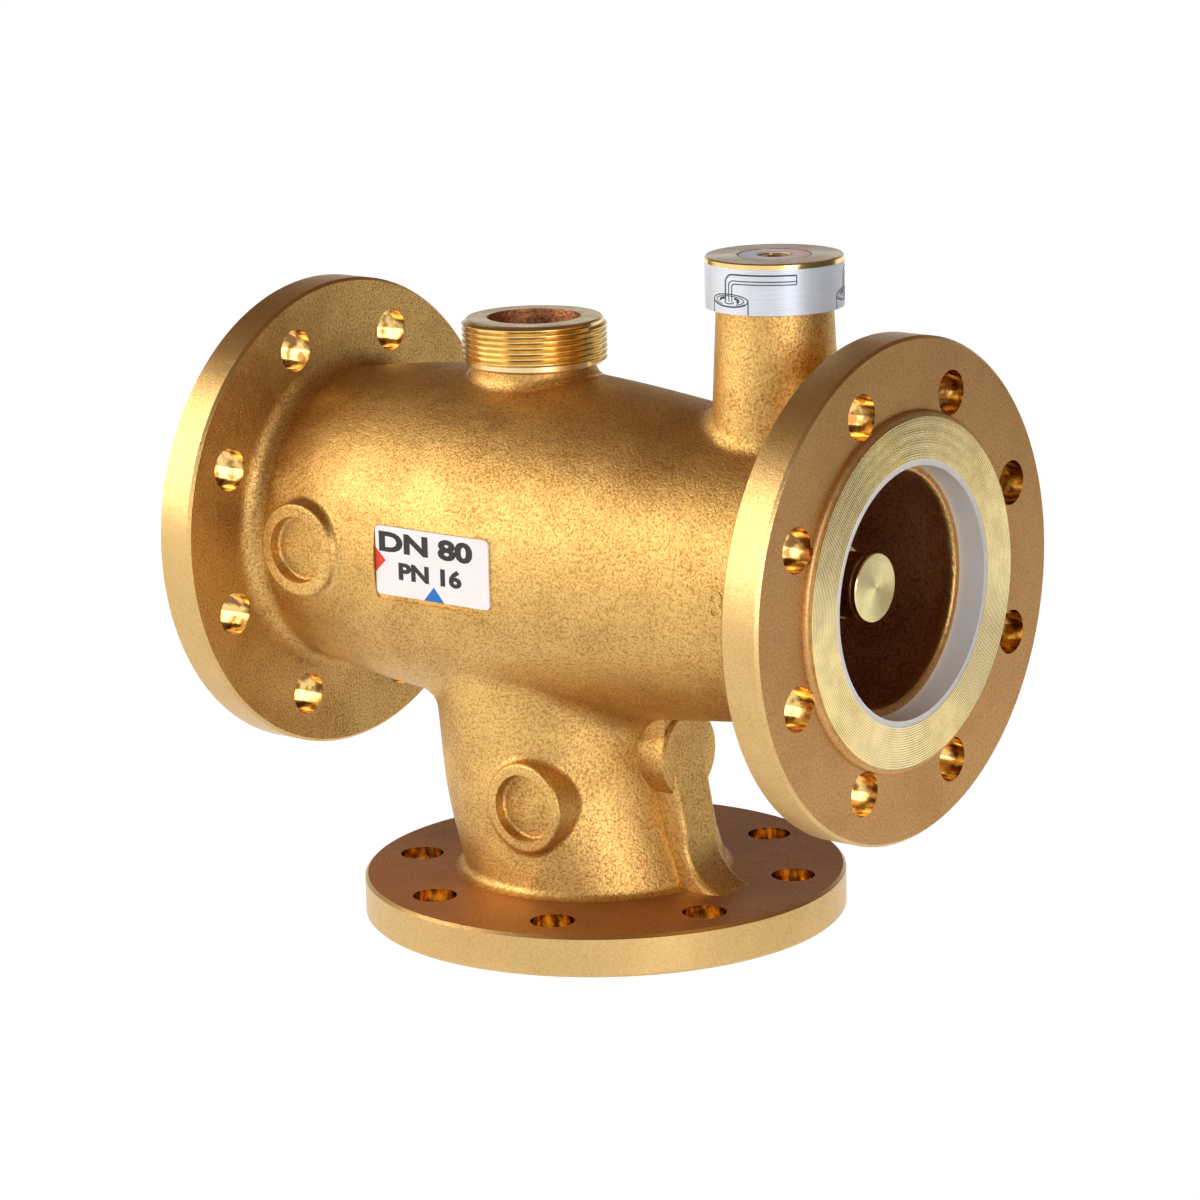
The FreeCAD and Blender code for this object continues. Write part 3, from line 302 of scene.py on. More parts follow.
@dataclass(frozen=True)
class DrawnSteel:
    """Drawn or rolled steel: grey metal with faint lengthwise scratches."""

    name: str
    colour: str
    roughness: float = 0.28
    scratch: float = 0.5 * MM
    scratch_depth: float = 0.02 * MM

    def material(self) -> Material:
        """Build the material.

        Returns:
            The new material.
        """
        material, add, place = new_material(self.name)
        stretched = add("Mapping", Vector=place, Scale=(0.15, 1.0, 1.0))
        scratch = add("TexNoise", Vector=stretched, Scale=1 / self.scratch, Detail=2.0)
        rough = add("MapRange", Value=scratch, From_Min=0.3, From_Max=0.7, To_Min=self.roughness - 0.06,
                    To_Max=self.roughness + 0.08)
        lines = add("Bump", Height=scratch, Distance=self.scratch_depth, Strength=0.4)
        shader = add("BsdfPrincipled", Base_Color=linear(self.colour), Metallic=1.0, Roughness=rough,
                     Normal=lines)
        add("OutputMaterial", Surface=shader)
        return material


@dataclass(frozen=True)
class BrushedBand:
    """Brushed aluminium foil round the head: pale blue-silver with fine level strokes."""

    name: str
    colour: str
    roughness: float = 0.34
    metallic: float = 0.25
    stroke: float = 0.35 * MM
    stroke_depth: float = 0.015 * MM

    def material(self) -> Material:
        """Build the material.

        Returns:
            The new material.
        """
        material, add, place = new_material(self.name)
        level = add("Mapping", Vector=place, Scale=(0.04, 0.04, 1.0))
        stroke = add("TexNoise", Vector=level, Scale=1 / self.stroke, Detail=3.0)
        shade = add("MapRange", Value=stroke, From_Min=0.3, From_Max=0.7, To_Min=0.86, To_Max=1.0)
        colour = add("Mix", SHADE, in0=1.0, in6=linear(self.colour), in7=shade)
        lines = add("Bump", Height=stroke, Distance=self.stroke_depth, Strength=0.5)
        shader = add("BsdfPrincipled", Base_Color=colour.outputs[2], Metallic=self.metallic,
                     Roughness=self.roughness, Normal=lines)
        add("OutputMaterial", Surface=shader)
        return material


@dataclass(frozen=True)
class TintedDial:
    """Printed dial film: white that turns pale blue on the cold side and pale pink on the hot side."""

    name: str
    cold_colour: str
    hot_colour: str
    centre: Vector
    middle_colour: str = "#F4F3F6"
    towards_hot: Point = (0.786, 0.618, 0.0)
    reach: float = 14.0 * MM
    roughness: float = 0.32
    grain: float = 0.8 * MM
    grain_depth: float = 0.01 * MM

    def material(self) -> Material:
        """Build the material.

        Returns:
            The new material.
        """
        material, add, place = new_material(self.name)
        moved = add("VectorMath", {"operation": "SUBTRACT"}, in0=place, in1=tuple(self.centre))
        across = add("VectorMath", {"operation": "DOT_PRODUCT"}, in0=moved, in1=self.towards_hot)
        share = add("MapRange", Value=across.outputs["Value"], From_Min=-self.reach, From_Max=self.reach,
                    To_Min=0.0, To_Max=1.0)
        colour = add("ValToRGB", Fac=share)
        ramp = colour.color_ramp
        ramp.elements[0].color = linear(self.cold_colour)
        ramp.elements[1].color = linear(self.hot_colour)
        ramp.elements.new(0.5).color = linear(self.middle_colour)
        film = add("TexNoise", Vector=place, Scale=1 / self.grain, Detail=2.0)
        skin = add("Bump", Height=film, Distance=self.grain_depth, Strength=0.4)
        shader = add("BsdfPrincipled", Base_Color=colour, Roughness=self.roughness, Normal=skin)
        add("OutputMaterial", Surface=shader)
        return material


Finish = CastBronze | TurnedMetal | DrilledBronze | PaintedFilm | DrawnSteel | BrushedBand | TintedDial


def axis_point(node: str) -> Vector:
    """Give the middle of a CAD node's box in metres."""
    low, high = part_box(node)
    return (Vector(low) + Vector(high)) / 2


BARREL_AXIS = Vector((0.0, 0.0, axis_point("carrier_cap").z))
HEAD_AXIS = Vector((axis_point("cover_disc").x, 0.0, 0.0))
PORT_AXIS = Vector((-31.0 * MM, 0.0, 0.0))
ORIGIN = Vector((0.0, 0.0, 0.0))


class Skin(Enum):
    """How each part of the casting's surface was made, with its finish, in material order; the flange fronts
    and the bottom flange's top also carry painted shade.
    """

    # red bronze as shot-blasted: a sandy golden skin with brown pits
    CAST = CastBronze("cast_bronze_blasted", "#E2BA70", "#96622A", roughness=0.46, grain_depth=0.3 * MM,
                      pit_share=0.62)
    # flange fronts, cast flat and left: duller than the barrel, and darker and redder as painted shade for
    # faces turned away from the light
    FLANGE_FACE_SHADED = CastBronze("cast_bronze_flange_face_painted_shade", "#D2A468", "#9C6A36", roughness=0.5,
                             grain_depth=0.1 * MM, wave_depth=0.2 * MM)
    # flange edges, skimmed once: paler and smoother, with few pits
    RIM = CastBronze("cast_bronze_rim", "#D9B678", "#A87E46", roughness=0.36, grain_depth=0.1 * MM,
                     wave_depth=0.15 * MM, pit_share=0.3)
    # faced on a lathe: pale and bright, with fine rings
    RAISED_FACE = TurnedMetal("turned_bronze_face", "#F8E6AE", Axis.BARREL, BARREL_AXIS, roughness=0.2,
                              depth=0.004 * MM)
    # drilled: mirror-bright metal broken by dark score bands
    DRILLED = DrilledBronze("drilled_bronze", "#F6CE7E", "#6E3812")
    # left by the sand core: rough, dark and red-brown
    CORE = CastBronze("core_cast_bronze", "#D49466", "#7A4426", roughness=0.5, grain=1.6 * MM,
                      grain_depth=0.5 * MM, pit_share=0.7)
    # rough cast and rubbed: a coarser grain with worn highlights
    LIP = CastBronze("cast_bronze_lip", "#DDB070", "#8A5A2C", roughness=0.4, grain=1.4 * MM,
                     grain_depth=0.35 * MM)
    # turned port end: clean pale metal between the threads
    PORT = TurnedMetal("turned_bronze_port", "#F2DCA8", Axis.UPRIGHT, PORT_AXIS, roughness=0.26,
                       depth=0.005 * MM)
    # turned underside: pale, with wide rings
    FLOOR_FACE = TurnedMetal("turned_bronze_bottom_face", "#EFDFB2", Axis.UPRIGHT, ORIGIN, roughness=0.22)
    # top of the bottom flange: the dullest and brownest skin, as painted shade for the body's shadow over it
    LOW_TOP_SHADED = CastBronze("cast_bronze_low_flange_painted_shade", "#C4905A", "#865628", roughness=0.5, grain_depth=0.2 * MM)

# hard-drawn wire and stamped rings: dark grey with long scratches
SPRING_STEEL = DrawnSteel("drawn_spring_steel", "#9A9CA2")
# moulded nitrile rubber: matt black with a soft pebble
RUBBER = PaintedFilm("moulded_rubber", "#17171A", roughness=0.6)


def coat(finish: Finish) -> Material:
    """Give a finish's material, built the first time that it is asked for."""
    return bpy.data.materials.get(finish.name) or finish.material()


# ---- mesh helpers

MERGE_GAP = 0.002 * MM
THINNEST_EDGE = 0.001 * MM
PRINT_MERGE_GAP = 0.0005 * MM
SHARP_ANGLE = 30.0
CASTING_SHARP_ANGLE = 32.0
WIRE_SHARP_ANGLE = 60.0
FLAT_FACING = 0.9
UPRIGHT = Matrix.Rotation(math.pi / 2, 4, "X")


def merged_mesh(node: str) -> bmesh.types.BMesh:
    """Copy a CAD node's mesh and join its loose triangles.

    Args:
        node: its name.

    Returns:
        A bmesh that the caller frees.
    """
    mesh = bmesh.new()
    mesh.from_mesh(frame["nodes"][node].data)
    bmesh.ops.remove_doubles(mesh, verts=mesh.verts, dist=MERGE_GAP)
    bmesh.ops.dissolve_degenerate(mesh, edges=mesh.edges, dist=THINNEST_EDGE)
    return mesh


def finish_mesh(mesh: bmesh.types.BMesh, name: str, sharp_angle: float = SHARP_ANGLE) -> Mesh:
    """Turn a bmesh into a smooth mesh whose corners stay sharp.

    Args:
        mesh: bmesh, freed here.
        name: name of the mesh.
        sharp_angle: angle in degrees past which an edge is sharp.

    Returns:
        The mesh.
    """
    data = bpy.data.meshes.new(name)
    mesh.to_mesh(data)
    mesh.free()
    if "custom_normal" in data.attributes:
        data.attributes.remove(data.attributes["custom_normal"])
    data.shade_smooth()
    data.set_sharp_from_angle(angle=math.radians(sharp_angle))
    return data


def link(name: str, data: object, *materials: Material) -> Object:
    """Put an object in the scene.

    Args:
        name: its name.
        data: its mesh, text, lamp or camera.
        materials: materials that replace those of its mesh, in order.

    Returns:
        The object.
    """
    item = bpy.data.objects.new(name, data)
    bpy.context.scene.collection.objects.link(item)
    if materials and len(data.materials):
        data.materials.clear()
    for material in materials:
        data.materials.append(material)
    return item


def add_piece(name: str, data: Mesh, materials: Sequence[Material], body: str = "housing",
              replaced: Sequence[str] = ()) -> Object:
    """Put a mesh in the scene as a piece of the valve.

    Args:
        name: the piece's name.
        data: its mesh, in place.
        materials: its materials, in order.
        body: body that it rides on.
        replaced: CAD nodes that it stands for.

    Returns:
        The new object.
    """
    piece = link(name, data, *materials)
    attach(piece, body)
    if replaced:
        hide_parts(*replaced)
    log.info("%s: %d faces on %s", name, len(data.polygons), body)
    return piece


def dress(node: str, *materials: Material, choose: Callable[[Vector, Vector], int] = lambda middle, normal: 0,
          name: str = "", sharp_angle: float = SHARP_ANGLE) -> Object:
    """Replace a CAD node by a smooth copy with its finishes.

    Args:
        node: the CAD node.
        materials: its finishes, in order.
        choose: turns a face's middle and direction into the number of its finish.
        name: the copy's name, if not the node's with _skin.
        sharp_angle: angle in degrees past which an edge is sharp.

    Returns:
        The copy.
    """
    name = name or node + "_skin"
    solid = frame["nodes"][node]
    mesh = merged_mesh(node)
    mesh.normal_update()
    for face in mesh.faces:
        face.material_index = choose(face.calc_center_median(), face.normal)
    data = finish_mesh(mesh, name, sharp_angle)
    piece = add_piece(name, data, materials, body_of(solid)[0], [node])
    # large flat faces shade flat beside their fillets
    modifier = piece.modifiers.new("weighted", "WEIGHTED_NORMAL")
    modifier.keep_sharp = True
    modifier.weight = 60
    return piece


def paint(finish: Finish, *nodes: str) -> None:
    """Give CAD nodes that stay as they are a finish.

    Args:
        finish: the finish.
        nodes: the CAD nodes.
    """
    for node in nodes:
        for slot in frame["nodes"][node].material_slots:
            slot.material = coat(finish)
        log.info("%s: finish %s", node, finish.name)


def coil(node: str, still_body: str, moving_body: str, seat: str) -> None:
    """Replace a spring by a copy that shortens and lengthens with its joint.

    Args:
        node: the CAD spring, wound along the barrel.
        still_body: body that holds its one end.
        moving_body: body that holds its other end.
        seat: CAD node on the moving body that the spring bears on.
    """
    low, high = (Vector(c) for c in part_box(node))
    middle = (low + high) / 2
    ends = [Vector((x, middle.y, middle.z)) for x in (low.x, high.x)]
    if axis_point(seat).x < middle.x:
        ends.reverse()
    data = finish_mesh(merged_mesh(node), node + "_wire", WIRE_SHARP_ANGLE)
    piece = link(node + "_wire", data, coat(SPRING_STEEL))
    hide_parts(node)
    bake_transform(piece, still_body, moving_body, ends[0], ends[1])
    log.info("%s: between %s and %s", piece.name, still_body, moving_body)


def from_points(name: str, points: Sequence[Vector], faces: Sequence[Sequence[int]]) -> Mesh:
    """Make a mesh from points and faces.

    Args:
        name: its name.
        points: its corners.
        faces: corner numbers of each face.

    Returns:
        The mesh.
    """
    data = bpy.data.meshes.new(name)
    data.from_pydata([tuple(p) for p in points], [], [tuple(f) for f in faces])
    data.validate()
    return data


def outward(data: Mesh) -> Mesh:
    """Join a mesh's doubles and turn its faces outwards.

    Args:
        data: mesh to mend.

    Returns:
        The same mesh.
    """
    mesh = bmesh.new()
    mesh.from_mesh(data)
    bmesh.ops.remove_doubles(mesh, verts=mesh.verts, dist=PRINT_MERGE_GAP)
    bmesh.ops.recalc_face_normals(mesh, faces=mesh.faces)
    mesh.to_mesh(data)
    mesh.free()
    return data


def slab(name: str, outline: Sequence[Flat], thickness: float, place: Placer) -> Mesh:
    """Make a thin slab from a flat outline and map it onto a surface.

    Args:
        name: its name.
        outline: (across, up) points, anticlockwise.
        thickness: how far it stands off the surface.
        place: turns (across, up, off) into a point.

    Returns:
        The mesh, with its faces outwards.
    """
    count = len(outline)
    points = [place(a, b, off) for off in (0.0, thickness) for a, b in outline]
    faces = [list(range(count))[::-1], list(range(count, 2 * count))]
    faces += [[i, (i + 1) % count, count + (i + 1) % count, count + i] for i in range(count)]
    return outward(from_points(name, points, faces))


def baked(holder: Object) -> Mesh:
    """Turn an object with text or a Geometry Nodes modifier into a plain mesh and remove it.

    Args:
        holder: the object.

    Returns:
        The mesh.
    """
    data = bpy.data.meshes.new_from_object(holder.evaluated_get(bpy.context.evaluated_depsgraph_get()))
    holder.modifiers.clear()
    bpy.data.objects.remove(holder)
    return data


def words_mesh(words: str, width: float, height: float, half_thick: float, bold: float = 0.0) -> Mesh:
    """Turn words into a flat mesh in the XY plane.

    Args:
        words: what it says.
        width: its size along X.
        height: its size along Y.
        half_thick: half of its thickness.
        bold: how far each stroke is thickened, as a share of the height.

    Returns:
        The mesh, centred on its own box.
    """
    curve = bpy.data.curves.new("letters", "FONT")
    curve.body = words
    curve.size = height
    curve.offset = bold * height
    curve.extrude = half_thick
    curve.resolution_u = 4
    data = baked(link("letters", curve))
    bpy.data.curves.remove(curve)
    low = [min(v.co[i] for v in data.vertices) for i in range(3)]
    high = [max(v.co[i] for v in data.vertices) for i in range(3)]
    centred = Matrix.Translation([-(a + b) / 2 for a, b in zip(low, high)])
    size = Matrix.Diagonal((width / (high[0] - low[0]), height / (high[1] - low[1]), 1.0, 1.0))
    data.transform(size @ centred)
    return data


def strokes_mesh(name: str, strokes: Sequence[tuple[Sequence[Flat], float]], place: Placer,
                 thickness: float = 0.06 * MM, step: float = 0.8 * MM) -> Mesh:
    """Draw printed lines as thin raised strips that follow a surface.

    Args:
        name: the mesh's name.
        strokes: each line's (across, up) points and its width.
        place: turns (across, up, off) into a point.
        thickness: how far the print stands off the surface.
        step: longest piece of a line that stays straight.

    Returns:
        The mesh.
    """
    points: list[Vector] = []
    faces: list[list[int]] = []
    for line, width in strokes:
        path = [Vector(line[0])]
        for a, b in zip(line, line[1:]):
            parts = max(1, math.ceil((Vector(b) - Vector(a)).length / step))
            path += [Vector(a).lerp(Vector(b), (i + 1) / parts) for i in range(parts)]
        first = len(points)
        for i, middle in enumerate(path):
            along = (path[min(i + 1, len(path) - 1)] - path[max(i - 1, 0)]).normalized()
            side = Vector((-along.y, along.x)) * width / 2
            for edge, off in ((side, -thickness), (-side, -thickness), (-side, thickness), (side, thickness)):
                points.append(place(middle.x + edge.x, middle.y + edge.y, off))
        last = first + 4 * (len(path) - 1)
        faces += [[first + i for i in (0, 1, 2, 3)], [last + i for i in (3, 2, 1, 0)]]
        for i in range(len(path) - 1):
            k = first + 4 * i
            faces += [[k + j, k + (j + 1) % 4, k + 4 + (j + 1) % 4, k + 4 + j] for j in range(4)]
    return outward(from_points(name, points, faces))


def arc_line(centre: Flat, radii: Flat, start: float, end: float, steps: int = 24) -> list[Flat]:
    """Give points along part of an ellipse with two radii, from a first to a last angle in degrees."""
    angles = [math.radians(start + (end - start) * i / steps) for i in range(steps + 1)]
    return [(centre[0] + radii[0] * math.cos(a), centre[1] + radii[1] * math.sin(a)) for a in angles]


def grown(name: str, data: Mesh, material: Material, values: dict[str, float],
          shape: Callable[[Adder, Sequence[NodeSocket]], Node]) -> Mesh:
    """Run a Geometry Nodes tree on a mesh, and make what comes out real and dressed.

    Args:
        name: the tree's name.
        data: mesh that goes in, under the name Drawing.
        material: finish that the tree sets.
        values: value of each other input by its name.
        shape: adds the nodes that make the shape, from the inputs' sockets, and gives the last one.

    Returns:
        The mesh that comes out.
    """
    tree = bpy.data.node_groups.new(name, "GeometryNodeTree")
    new_socket = tree.interface.new_socket
    # an input's kind follows from its value: Float or Int
    kinds = {label: type(value).__name__.title() for label, value in values.items()}
    keys = {label: new_socket(label, in_out="INPUT", socket_type="NodeSocket" + kind).identifier
            for label, kind in ({"Drawing": "Geometry"} | kinds).items()}
    new_socket("Geometry", in_out="OUTPUT", socket_type="NodeSocketGeometry")
    add = partial(add_node, tree)
    real = add("GeometryNodeRealizeInstances", Geometry=shape(add, add("NodeGroupInput").outputs))
    dressed = add("GeometryNodeSetMaterial", Geometry=real, Material=material)
    add("NodeGroupOutput", Geometry=dressed)
    holder = link(name, data)
    modifier = holder.modifiers.new("nodes", "NODES")
    modifier.node_group = tree
    for label, value in values.items():
        modifier[keys[label]] = value
    return outward(baked(holder))


def swept(name: str, profile: Sequence[Flat], radius: float, material: Material, turns: float = 0.0,
          rise: float = 0.0, steps: int = 128) -> Mesh:
    """Lead a closed profile round a ring or up a helix about the upright axis.

    Args:
        name: the mesh's name.
        profile: (outwards, downwards) points of the section, from the path.
        radius: the path's radius.
        material: finish that the tree sets.
        turns: turns of the helix; none makes a ring.
        rise: height of the helix.
        steps: segments per turn.

    Returns:
        The mesh.
    """
    def shape(add: Adder, given: Sequence[NodeSocket]) -> Node:
        """Lead the profile along a ring or a helix."""
        if turns:
            path = add("GeometryNodeCurveSpiral", Resolution=steps, Rotations=given["Turns"],
                       Start_Radius=given["Radius"], End_Radius=given["Radius"], Height=given["Rise"],
                       Reverse=True)
        else:
            path = add("GeometryNodeCurvePrimitiveCircle", Resolution=steps, Radius=given["Radius"])
        level = add("GeometryNodeSetCurveNormal", {"mode": "Z_UP"}, Curve=path)
        section = add("GeometryNodeMeshToCurve", Mesh=given["Drawing"])
        return add("GeometryNodeCurveToMesh", Curve=level, Profile_Curve=section, Fill_Caps=True)

    data = bpy.data.meshes.new(name)
    count = len(profile)
    data.from_pydata([(a, b, 0.0) for a, b in profile], [(i, (i + 1) % count) for i in range(count)], [])
    done = grown(name + "_sweep", data, material, {"Radius": radius, "Turns": turns, "Rise": rise}, shape)
    done.shade_smooth()
    done.set_sharp_from_angle(angle=math.radians(SHARP_ANGLE))
    return done


def repeated(name: str, data: Mesh, count: int, material: Material) -> Mesh:
    """Repeat a mesh evenly about the upright axis.

    Args:
        name: the mesh's name.
        data: mesh round the upright axis.
        count: how many.
        material: finish that the tree sets.

    Returns:
        The mesh.
    """
    def shape(add: Adder, given: Sequence[NodeSocket]) -> Node:
        """Turn each copy by its number."""
        spots = add("GeometryNodePoints", Count=given["Count"])
        number = add("GeometryNodeInputIndex")
        angle = add("Math", {"operation": "MULTIPLY"}, in0=number, in1=given["Step"])
        turn = add("CombineXYZ", Z=angle)
        return add("GeometryNodeInstanceOnPoints", Points=spots, Instance=given["Drawing"], Rotation=turn)

    return grown(name + "_repeat", data, material, {"Count": count, "Step": 2 * math.pi / count}, shape)


# ---- casting

@dataclass
class Casting:
    """The bronze casting as one skin whose faces are sorted by how they were made."""

    flange_r: float = 100.0 * MM
    flange_back: float = 20.0 * MM
    rim_bevel: float = 1.5 * MM
    raised_r: float = 69.0 * MM
    raised_height: float = 3.0 * MM
    bolt_circle_r: float = 80.0 * MM
    bolt_hole_r: float = 9.0 * MM
    bolt_hole_slack: float = 0.4 * MM
    bolt_count: int = 8
    counterbore_r: float = 52.5 * MM
    counterbore_depth: float = 12.0 * MM
    lip_width: float = 4.0 * MM
    lip_edge: float = 0.5 * MM
    branch_lean: float = 0.215
    branch_bore_r: float = 48.5 * MM
    branch_mouth_r: float = 45.0 * MM
    port_height: float = 40.0 * MM
    port_bore_r: float = 19.3 * MM
    port_thread_r: float = 28.4 * MM
    port_thread_depth: float = 1.0 * MM
    neck_bore_r: float = 15.0 * MM
    hollow_middle_r: float = 66.0 * MM
    hollow_taper: float = 0.08
    crown_x: float = -28.0 * MM
    slack: float = 0.05 * MM
    # a wall's direction points along its hole by less than the first of these, and a cored wall's outwards
    # from its bore by less than the others
    wall_facing: float = 0.5
    barrel_facing: float = 0.25
    branch_facing: float = -0.2
    # the outlet's face sits back by the sink, so that the grooved ring can lie in it
    face_sink: float = 0.38 * MM
    groove_count: int = 17
    groove_depth: float = 0.32 * MM
    # shares of the pitch where a groove starts, reaches its floor, leaves it and ends
    groove_shape: tuple[float, ...] = (0.50, 0.64, 0.84, 0.98)
    numeral_place: Point = (102.4 * MM, -58.5 * MM, 155.3 * MM)
    numeral_size: Flat = (6.4 * MM, 11.4 * MM)
    numeral_height: float = 0.5 * MM
    numeral_turn: float = math.radians(4.9)
    high: Vector = field(init=False)

    def __post_init__(self) -> None:
        """Read the highest corner of the casting's box."""
        self.high = Vector(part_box("valve_body")[1])

    def in_bolt_hole(self, across: float, up: float) -> bool:
        """Say whether a point lies on the wall of a bolt hole.

        Args:
            across: distance from the flange's axis to one side.
            up: distance from the flange's axis upwards.

        Returns:
            True on a hole's wall.
        """
        step = 2 * math.pi / self.bolt_count
        middle = (math.floor(math.atan2(up, across) / step) + 0.5) * step
        hole = math.hypot(across - self.bolt_circle_r * math.cos(middle),
                          up - self.bolt_circle_r * math.sin(middle))
        return abs(hole - self.bolt_hole_r) < self.bolt_hole_slack

    def skin_at(self, point: Vector, normal: Vector) -> Skin:
        """Sort one face by its place and direction.

        Args:
            point: middle of the face.
            normal: its direction.

        Returns:
            How it was made.
        """
        from_axis = math.hypot(point.y, point.z - BARREL_AXIS.z)
        if abs(point.x) > self.high.x - self.flange_back - self.slack:
            if from_axis < self.flange_r + self.slack:
                return self.flange_skin(point, normal, False)
        elif point.z < self.flange_back + self.slack:
            return self.flange_skin(point, normal, True)
        from_port = math.hypot(point.x - PORT_AXIS.x, point.y)
        if from_port < self.port_thread_r + self.slack and point.z > self.high.z - self.port_height:
            if from_port < self.port_bore_r + self.slack:
                return Skin.CORE
            turned = normal.z > FLAT_FACING or from_port > self.port_thread_r - self.port_thread_depth
            return Skin.PORT if turned else Skin.CAST
        if (math.hypot(point.x - HEAD_AXIS.x, point.y) < self.neck_bore_r + self.slack
                and point.z > BARREL_AXIS.z):
            return Skin.CORE
        hollow_r = self.hollow_middle_r - self.hollow_taper * abs(point.x - self.crown_x)
        outwards = Vector((0.0, point.y, point.z - BARREL_AXIS.z)).normalized()
        if from_axis < hollow_r and normal.dot(outwards) < self.barrel_facing:
            return Skin.CORE
        across = point.x + self.branch_lean * max(point.z - self.flange_back, 0.0)
        outwards = Vector((across, point.y, 0.0)).normalized()
        if (math.hypot(across, point.y) < self.branch_bore_r and point.z < BARREL_AXIS.z
                and normal.dot(outwards) < self.branch_facing):
            return Skin.CORE
        return Skin.CAST

    def flange_skin(self, point: Vector, normal: Vector, low: bool) -> Skin:
        """Sort a face of a flange.

        Args:
            point: middle of the face.
            normal: its direction.
            low: whether the flange is the bottom one.

        Returns:
            How it was made.
        """
        across, up, depth, facing = point.x, point.y, point.z, normal.z
        if not low:
            across, up = point.y, point.z - BARREL_AXIS.z
            depth, facing = self.high.x - abs(point.x), abs(normal.x)
        radius = math.hypot(across, up)
        if self.in_bolt_hole(across, up) and abs(facing) < self.wall_facing:
            return Skin.DRILLED
        if depth < self.slack and (low or facing > FLAT_FACING):
            return Skin.FLOOR_FACE if low else Skin.RAISED_FACE
        if radius < (self.branch_mouth_r if low else self.counterbore_r + self.slack):
            if point.x > 0 and not low and depth < self.counterbore_depth + self.lip_width:
                return Skin.LIP if radius < self.counterbore_r - self.lip_edge else Skin.RAISED_FACE
            return Skin.CORE
        if radius > self.flange_r - self.rim_bevel:
            return Skin.RIM
        # the bottom flange's top takes the skin darkened as painted shade
        if low and depth > self.flange_back - self.slack and facing > FLAT_FACING:
            return Skin.LOW_TOP_SHADED
        # flange fronts take the skin whose darker, redder colour is painted shade
        return Skin.FLANGE_FACE_SHADED if depth < self.raised_height + self.slack else Skin.CAST

    def build(self) -> None:
        """Build the dressed casting with its grooves and its numeral."""
        order = list(Skin)
        piece = dress("valve_body", *(coat(skin.value) for skin in Skin), name="casting",
                      choose=lambda middle, normal: order.index(self.skin_at(middle, normal)),
                      sharp_angle=CASTING_SHARP_ANGLE)
        for corner in piece.data.vertices:
            if corner.co.x > self.high.x - self.slack:
                corner.co.x -= self.face_sink
        self.grooves()
        self.numeral()

    def grooves(self) -> None:
        """Turn the rings of the outlet's raised face, on a ring that lies in the sunk face."""
        width = self.raised_r - self.counterbore_r
        pitch = width / self.groove_count
        floor = (0.0, self.groove_depth, self.groove_depth, 0.0)
        section = [(0.0, 2 * self.face_sink), (0.0, 0.0)]
        for i in range(self.groove_count):
            section += [(pitch * (i + share), depth) for share, depth in zip(self.groove_shape, floor)]
        section += [(width, 0.0), (width, 2 * self.face_sink)]
        finish = coat(Skin.RAISED_FACE.value)
        data = swept("outlet_face_rings", section, self.counterbore_r, finish, steps=192)
        data.transform(Matrix.Translation((self.high.x, 0.0, BARREL_AXIS.z))
                       @ Matrix.Rotation(math.pi / 2, 4, "Y"))
        add_piece("outlet_face_rings", data, [finish])

    def numeral(self) -> None:
        """Cast the raised numeral on the barrel's side."""
        data = words_mesh("8", *self.numeral_size, self.numeral_height)
        data.transform(Matrix.Translation(self.numeral_place) @ Matrix.Rotation(self.numeral_turn, 4, "Z")
                       @ UPRIGHT)
        add_piece("cast_numeral", data, [coat(Skin.CAST.value)])


@dataclass
class Port:
    """Circulation port: one thread ridge wound round the turned root."""

    root_r: float = 28.4 * MM
    depth: float = 1.38 * MM
    pitch: float = 2.309 * MM
    crest: float = 0.4 * MM
    sink: float = 0.3 * MM
    low_z: float = 230.7 * MM
    turns: float = 7.0

    def build(self) -> None:
        """Wind the thread."""
        side = [(-self.sink, self.pitch / 2), (0.0, self.pitch / 2), (self.depth, self.crest / 2)]
        section = [(out, -down) for out, down in side] + side[::-1]
        # bronze cut by a die: bright flanks with uneven tool marks
        finish = coat(TurnedMetal("cut_bronze_thread", "#F3D492", Axis.UPRIGHT, PORT_AXIS, roughness=0.2,
                                  mottling=0.3))
        data = swept("port_thread", section, self.root_r, finish, self.turns, self.turns * self.pitch)
        data.transform(Matrix.Translation((PORT_AXIS.x, 0.0, self.low_z)))
        add_piece("port_thread", data, [finish])


